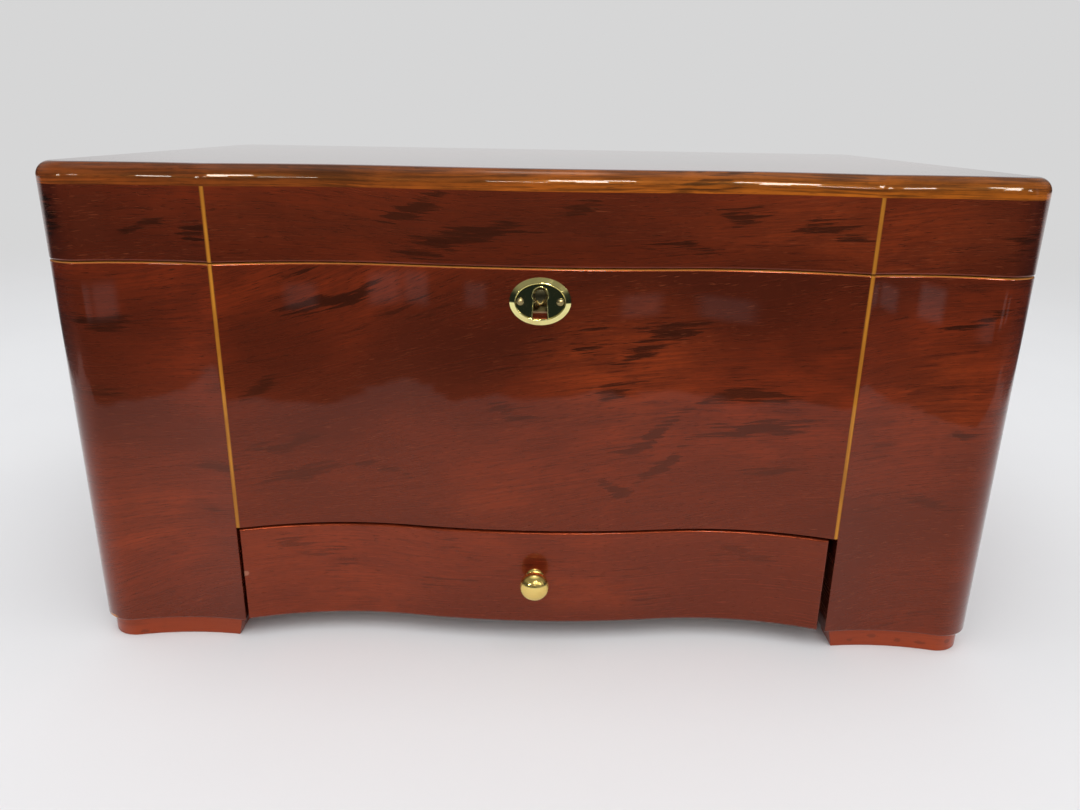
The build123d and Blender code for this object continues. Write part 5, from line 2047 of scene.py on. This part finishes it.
@dataclass
class DialNumbers:
    """The dial's plain numbers, and its needle turned to point at them."""

    finishes: Finishes
    radius: float = 12.9 * MM
    height: float = 3.4 * MM
    half_thickness: float = 0.02 * MM
    step_deg: float = 48.0

    def build(self) -> None:
        """Builds the numbers on the dial, which faces down from the lid."""
        low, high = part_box("hygrometer_dial")
        middle = Vector(((low.x + high.x) / 2, (low.y + high.y) / 2, low.z))
        joint = bmesh.new()
        for index in range(4):
            curve = bpy.data.curves.new("dial_number", "FONT")
            curve.body = str(20 * (index + 1))
            curve.size = self.height
            curve.extrude = self.half_thickness
            curve.align_x, curve.align_y = "CENTER", "CENTER"
            carrier = bpy.data.objects.new("dial_number", curve)
            bpy.context.scene.collection.objects.link(carrier)
            printed = bpy.data.meshes.new_from_object(
                carrier.evaluated_get(bpy.context.evaluated_depsgraph_get())
            )
            turn = math.radians((index - 1.5) * self.step_deg)
            aside = Vector((math.sin(turn), -math.cos(turn), 0.0)) * self.radius
            printed.transform(Matrix.Translation(middle + aside) @ Matrix.Rotation(math.pi, 4, "X"))
            joint.from_mesh(printed)
            bpy.data.objects.remove(carrier)
            bpy.data.meshes.remove(printed)
            bpy.data.curves.remove(curve)
        bmesh.ops.remove_doubles(joint, verts=joint.verts, dist=0.002 * MM)
        make_piece(joint, "dial_numbers", Body.LID, (self.finishes.ink,), Piece("dial"))
        pointer = merged_copy("hygrometer_needle", "needle_pointer")
        half_turn = Matrix.Rotation(math.pi, 4, "Z")
        pointer.data.transform(Matrix.Translation(middle) @ half_turn @ Matrix.Translation(-middle))
        about = Piece("needle", ("hygrometer_needle",))
        finish_piece(pointer, Body.NEEDLE, (self.finishes.ink,), about)


@dataclass
class CarriedNodes:
    """CAD nodes whose shape is right: they stay, or a merged copy with eased edges stands in."""

    finishes: Finishes

    def dress(self) -> None:
        """Gives every node that stays its material."""
        finishes = self.finishes
        plain = (
            (finishes.string, "body_strings lid_strings"),
            (finishes.inner_floor, "chamber_floor base_board drawer_guides drawer_bottom"),
            (finishes.inner_wood, "drawer_stop drawer_side_left drawer_side_right drawer_back"),
            (finishes.cedar, "lining_front lining_back lining_left lining_right tray_divider"),
            (finishes.cedar, "tray_front tray_back tray_left tray_right"),
            (finishes.cedar_floor, "lining_floor lid_ceiling tray_rails tray_bottom"),
            (finishes.plastic, "humidifier_grille humidifier_case"),
            (finishes.dial, "hygrometer_dial"),
            (finishes.glass, "hygrometer_glass"),
            (finishes.worn_brass, "knob_screw lock_case lock_bolt"),
            (finishes.brass, "hygrometer_case lock_face_plate lock_screws strike_plate"),
            (finishes.brass, "strike_screws hinge_pins hinge_body_screws hinge_lid_screws"),
        )
        for material, names in plain:
            for node in names.split():
                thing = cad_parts[node]
                thing.data.materials.clear()
                thing.data.materials.append(material)
                log.info("%s keeps its CAD shape", node)
        for place in ("front_left", "front_right", "rear_left", "rear_right"):
            self.ease(f"foot_{place}", finishes.foot, Body.CASE, "foot_wood", 0.35 * MM)
        for side in SIDES:
            self.ease(f"hinge_body_leaf_{side}", finishes.brass, Body.CASE, "brass", 0.0)
            self.ease(f"hinge_lid_leaf_{side}", finishes.brass, Body.LID, "brass", 0.0)

    def ease(self, node: str, material: Material, body: Body, slot: str, bevel: float) -> None:
        """Stands a smooth copy with slightly rounded edges in for a node.

        Args:
            node: The node.
            material: The copy's material.
            body: The body that it rides on.
            slot: Its material slot.
            bevel: Rounding of its edges, or 0 for none.
        """
        thing = merged_copy(node, f"{node}_eased")
        finish_piece(thing, body, (material,), Piece(slot, (node,), bevel=bevel))


@dataclass(frozen=True)
class PhotoCamera:
    """The camera of the photograph."""

    focal_px: float = 841.853
    image_width_px: float = 1080.0
    sensor_mm: float = 36.0
    place: tuple = (2.39 * MM, -459.81 * MM, 231.72 * MM)
    yaw_deg: float = -0.3
    pitch_deg: float = 18.637
    roll_deg: float = 0.963

    def build(self) -> None:
        """Makes the camera and sets it as the scene's."""
        yaw, pitch, roll = (
            math.radians(angle) for angle in (self.yaw_deg, self.pitch_deg, self.roll_deg)
        )
        ahead = Vector(
            (math.sin(yaw) * math.cos(pitch), math.cos(yaw) * math.cos(pitch), -math.sin(pitch))
        )
        level = Vector((math.cos(yaw), -math.sin(yaw), 0))
        above = level.cross(ahead)
        right = level * math.cos(roll) + above * math.sin(roll)
        top = above * math.cos(roll) - level * math.sin(roll)
        data = bpy.data.cameras.new("photo_camera")
        data.sensor_width = self.sensor_mm
        data.lens = self.focal_px / self.image_width_px * self.sensor_mm
        data.clip_start = 0.01
        data.clip_end = 50.0
        camera = bpy.data.objects.new("photo_camera", data)
        axes = Matrix((right, top, -ahead)).transposed()
        camera.matrix_world = Matrix.Translation(self.place) @ axes.to_4x4()
        bpy.context.scene.collection.objects.link(camera)
        bpy.context.scene.camera = camera


@dataclass(frozen=True)
class Glow:
    """A bright patch of the room that only reflections show, with soft or hard edges."""

    name: str
    low: tuple
    high: tuple
    tone: tuple
    strength: float
    softness: float = 0.0

    def build(self) -> None:
        """Hangs the patch as a flat card between its two corners."""
        low, high = Vector(self.low), Vector(self.high)
        size = high - low
        level = size.z < size.y
        turn = Matrix.Identity(4) if level else Matrix.Rotation(math.pi / 2, 4, "X")
        shape = Matrix.Diagonal((size.x / 2, (size.y if level else size.z) / 2, 1.0, 1.0))
        mesh = bmesh.new()
        bmesh.ops.create_grid(
            mesh, x_segments=1, y_segments=1, size=1.0,
            matrix=Matrix.Translation((low + high) / 2) @ turn @ shape,
        )
        card = to_object(mesh, self.name)
        material = bpy.data.materials.new(self.name)
        material.use_nodes = True
        nodes = Nodes(material.node_tree)
        material.node_tree.nodes.clear()
        output = nodes.add("ShaderNodeOutputMaterial")
        clear = nodes.add("ShaderNodeBsdfTransparent").outputs[0]
        glow = nodes.shader("ShaderNodeEmission", self.tone, self.strength)
        shown = nodes.blend(self.fade(nodes, (low + high) / 2, size), clear, glow)
        nodes.feed(output.inputs["Surface"], shown)
        card.data.materials.append(material)
        card.visible_camera = False
        card.visible_diffuse = False
        card.visible_shadow = False
        card.visible_transmission = False

    def fade(self, nodes: Nodes, middle: Vector, size: Vector) -> object:
        """How much of the patch shows, less towards its edges.

        Args:
            nodes: The tree's helper.
            middle: Middle of the card.
            size: Size of the card.

        Returns:
            A share from 0 to 1.
        """
        if self.softness <= 0:
            return 1.0
        place = nodes.separate(nodes.add("ShaderNodeTexCoord").outputs["Object"])
        share = 1.0
        for axis in (0, 1, 2):
            if size[axis] <= 0:
                continue
            off = nodes.math("ABSOLUTE", nodes.math("SUBTRACT", place[axis], middle[axis]))
            edge = nodes.ramp(off, size[axis] / 2, size[axis] / 2 * (1 - self.softness))
            share = nodes.math("MULTIPLY", share, edge)
        return share


WARM_WHITE = colour(1.0, 0.96, 0.88)
OLIVE = colour(1.0, 1.0, 0.8)
LILAC = colour(0.96, 0.86, 0.88)


@dataclass
class Studio:
    """A pale table in a dim room with a row of lamps, a pale wall behind, and soft light."""

    floor_radius: float = 6.0
    floor_tone: tuple = colour(0.82, 0.82, 0.825)
    wall_tone: tuple = colour(0.672, 0.672, 0.674)
    fade_from: float = 0.45
    fade_to: float = 1.6
    table_edge_y: float = -0.485
    table_half_width: float = 0.62
    dim_tone: tuple = colour(0.014, 0.020, 0.024)
    ceiling_tone: tuple = colour(0.25, 0.245, 0.22)
    overhead_tone: tuple = colour(0.95, 0.95, 0.92)
    sky_tone: tuple = colour(0.97, 0.98, 1.0)
    ambient_front: float = 0.84
    ambient_back: float = 0.62
    soft_power: float = 8.0
    glows: tuple = (
        Glow("lamp_left", (-2.15, -3.0, 0.85), (-1.45, -3.0, 1.15), WARM_WHITE, 50.0),
        Glow("lamp_middle_a", (-0.55, -3.0, 1.0), (0.03, -3.0, 1.12), WARM_WHITE, 50.0),
        Glow("lamp_middle_b", (0.04, -3.0, 1.5), (0.3, -3.0, 2.1), WARM_WHITE, 60.0),
        Glow("lamp_middle_c", (0.3, -3.0, 1.22), (0.62, -3.0, 2.2), WARM_WHITE, 60.0),
        Glow("lamp_middle_d", (0.62, -3.0, 1.9), (0.95, -3.0, 2.4), WARM_WHITE, 50.0),
        Glow("lamp_right", (1.7, -3.0, 1.1), (2.4, -3.0, 1.5), WARM_WHITE, 50.0),
        Glow("pane_a", (-0.289, -0.6, 0.045), (-0.218, -0.6, 0.091), LILAC, 1.1, 0.6),
        Glow("pane_b", (-0.159, -0.6, 0.050), (-0.10, -0.6, 0.084), LILAC, 0.9, 0.6),
        Glow("pane_c", (0.141, -0.6, 0.040), (0.256, -0.6, 0.072), LILAC, 0.9, 0.6),
        Glow("pane_d", (0.316, -0.6, 0.048), (0.404, -0.6, 0.092), LILAC, 1.5, 0.5),
        Glow("pane_e", (0.450, -0.6, 0.042), (0.544, -0.6, 0.078), LILAC, 1.2, 0.6),
        Glow("side_right", (1.10, -0.9, 0.1), (1.55, -0.9, 1.0), LILAC, 0.9, 0.3),
        Glow("overhead", (-0.25, -0.35, 1.6), (0.25, 0.3, 1.6), WARM_WHITE, 5.0, 0.5),
        Glow("flag", (-0.26, -0.45, 0.135), (0.29, -0.45, 0.30), OLIVE, 0.09, 0.1),
    )

    def build(self) -> None:
        """Builds the floor, the room's bright patches, the lights and the world."""
        self.build_floor()
        for glow in self.glows:
            glow.build()
        self.add_lamp("soft_front", (0.0, -1.5, 1.1), 2.2, 1.4, self.soft_power)
        self.add_lamp("soft_above", (0.0, -0.5, 1.9), 2.4, 2.0, 1.9 * self.soft_power)
        self.build_world()
        bpy.context.scene.view_settings.view_transform = "Standard"

    def build_floor(self) -> None:
        """Lays a wide round floor: a pale table that melts into the wall behind.

        Reflections see the dim room past the table's front and side edges.
        """
        mesh = bmesh.new()
        bmesh.ops.create_circle(mesh, cap_ends=True, segments=96, radius=self.floor_radius)
        floor = to_object(mesh, "table_top")
        material = bpy.data.materials.new("table_top")
        material.use_nodes = True
        nodes = Nodes(material.node_tree)
        material.node_tree.nodes.clear()
        output = nodes.add("ShaderNodeOutputMaterial")
        x, y, _ = nodes.separate(nodes.add("ShaderNodeTexCoord").outputs["Object"])
        flat = nodes.combine(x, y, 0.0)
        length = nodes.add("ShaderNodeVectorMath", operation="LENGTH")
        nodes.feed(length.inputs[0], flat)
        far = nodes.ramp(length.outputs["Value"], self.fade_from, self.fade_to)
        path = nodes.add("ShaderNodeLightPath")
        glossy = path.outputs["Is Glossy Ray"]
        seen = nodes.math(
            "MAXIMUM", path.outputs["Is Camera Ray"],
            nodes.math("MAXIMUM", glossy, path.outputs["Is Transmission Ray"]),
        )
        cloth = nodes.add("ShaderNodeBsdfDiffuse")
        mottle = nodes.noise(flat, detail=3.0, roughness=0.5, scale=7.0)
        pale = nodes.mix(nodes.ramp(mottle, 0.35, 0.7, 0.35), self.floor_tone, colour(0.79, 0.79, 0.80))
        nodes.feed(cloth.inputs["Color"], pale)
        wall = nodes.shader("ShaderNodeEmission", self.wall_tone)
        table = nodes.blend(nodes.math("MULTIPLY", far, seen), cloth.outputs[0], wall)

        clutter = nodes.noise(flat, detail=3.0, roughness=0.55, scale=9.0)
        wobble = nodes.math("MULTIPLY", nodes.math("SUBTRACT", clutter, 0.5), 0.16)
        past_front = nodes.ramp(
            nodes.math("ADD", y, wobble), self.table_edge_y + 0.012, self.table_edge_y - 0.016
        )
        aside = nodes.math("ADD", nodes.math("ABSOLUTE", x), wobble)
        past_side = nodes.ramp(aside, self.table_half_width, self.table_half_width + 0.06)
        before_back = nodes.ramp(y, 0.7, 0.2)
        past = nodes.math("MAXIMUM", past_front, nodes.math("MULTIPLY", past_side, before_back))
        dim = nodes.shader("ShaderNodeEmission", self.dim_tone)
        room = nodes.blend(nodes.math("MULTIPLY", past, glossy), table, dim)
        nodes.feed(output.inputs["Surface"], room)
        floor.data.materials.append(material)

    def add_lamp(
        self, name: str, place: Sequence[float], width: float, depth: float, power: float
    ) -> None:
        """Hangs one wide soft light that faces the object and that no reflection shows.

        Args:
            name: Its name.
            place: Its middle.
            width: Its width.
            depth: Its other side.
            power: Its power in watts.
        """
        data = bpy.data.lights.new(name, "AREA")
        data.shape = "RECTANGLE"
        data.size = width
        data.size_y = depth
        data.energy = power
        lamp = bpy.data.objects.new(name, data)
        lamp.location = place
        lamp.rotation_mode = "QUATERNION"
        lamp.rotation_quaternion = (Vector(place) - Vector((0, 0, 0.1))).to_track_quat("Z", "Y")
        lamp.visible_glossy = False
        lamp.visible_camera = False
        bpy.context.scene.collection.objects.link(lamp)

    def build_world(self) -> None:
        """Sets the surround: pale to the eye, plain light, and in reflections a pale wall behind."""
        world = bpy.data.worlds.new("surround")
        world.use_nodes = True
        bpy.context.scene.world = world
        tree = world.node_tree
        tree.nodes.clear()
        nodes = Nodes(tree)
        output = nodes.add("ShaderNodeOutputWorld")
        path = nodes.add("ShaderNodeLightPath")
        _, y, z = nodes.separate(nodes.add("ShaderNodeTexCoord").outputs["Generated"])
        room = nodes.mix(nodes.ramp(z, 0.12, 0.5), self.dim_tone, self.ceiling_tone)
        room = nodes.mix(nodes.ramp(z, 0.82, 0.98, 0.8), room, self.overhead_tone)
        room = nodes.mix(nodes.ramp(y, 0.66, 0.93), room, self.wall_tone)
        gain = self.ambient_front - self.ambient_back
        ambient = nodes.math("ADD", nodes.ramp(y, 0.3, -0.5, gain), self.ambient_back)
        light = nodes.shader("ShaderNodeBackground", self.sky_tone, ambient)
        mirrored = nodes.shader("ShaderNodeBackground", room)
        seen = nodes.shader("ShaderNodeBackground", self.wall_tone)
        unseen = nodes.blend(path.outputs["Is Glossy Ray"], light, mirrored)
        shown = nodes.math("MAXIMUM", path.outputs["Is Camera Ray"], path.outputs["Is Transmission Ray"])
        nodes.feed(output.inputs["Surface"], nodes.blend(shown, unseen, seen))


def main() -> None:
    """Builds the object and its studio, in order."""
    logging.basicConfig(level=logging.INFO, format="%(name)s: %(message)s")
    PhotoCamera().build()
    finishes = Finishes(PLAN)
    case = ShapedCase(PLAN, finishes)
    case.build()
    ShapedLid(PLAN, finishes).build()
    Drawer(PLAN, finishes).build()
    Escutcheon(case, finishes).build()
    CarriedNodes(finishes).dress()
    DialNumbers(finishes).build()
    Studio().build()


if __name__ == "__main__":
    main()
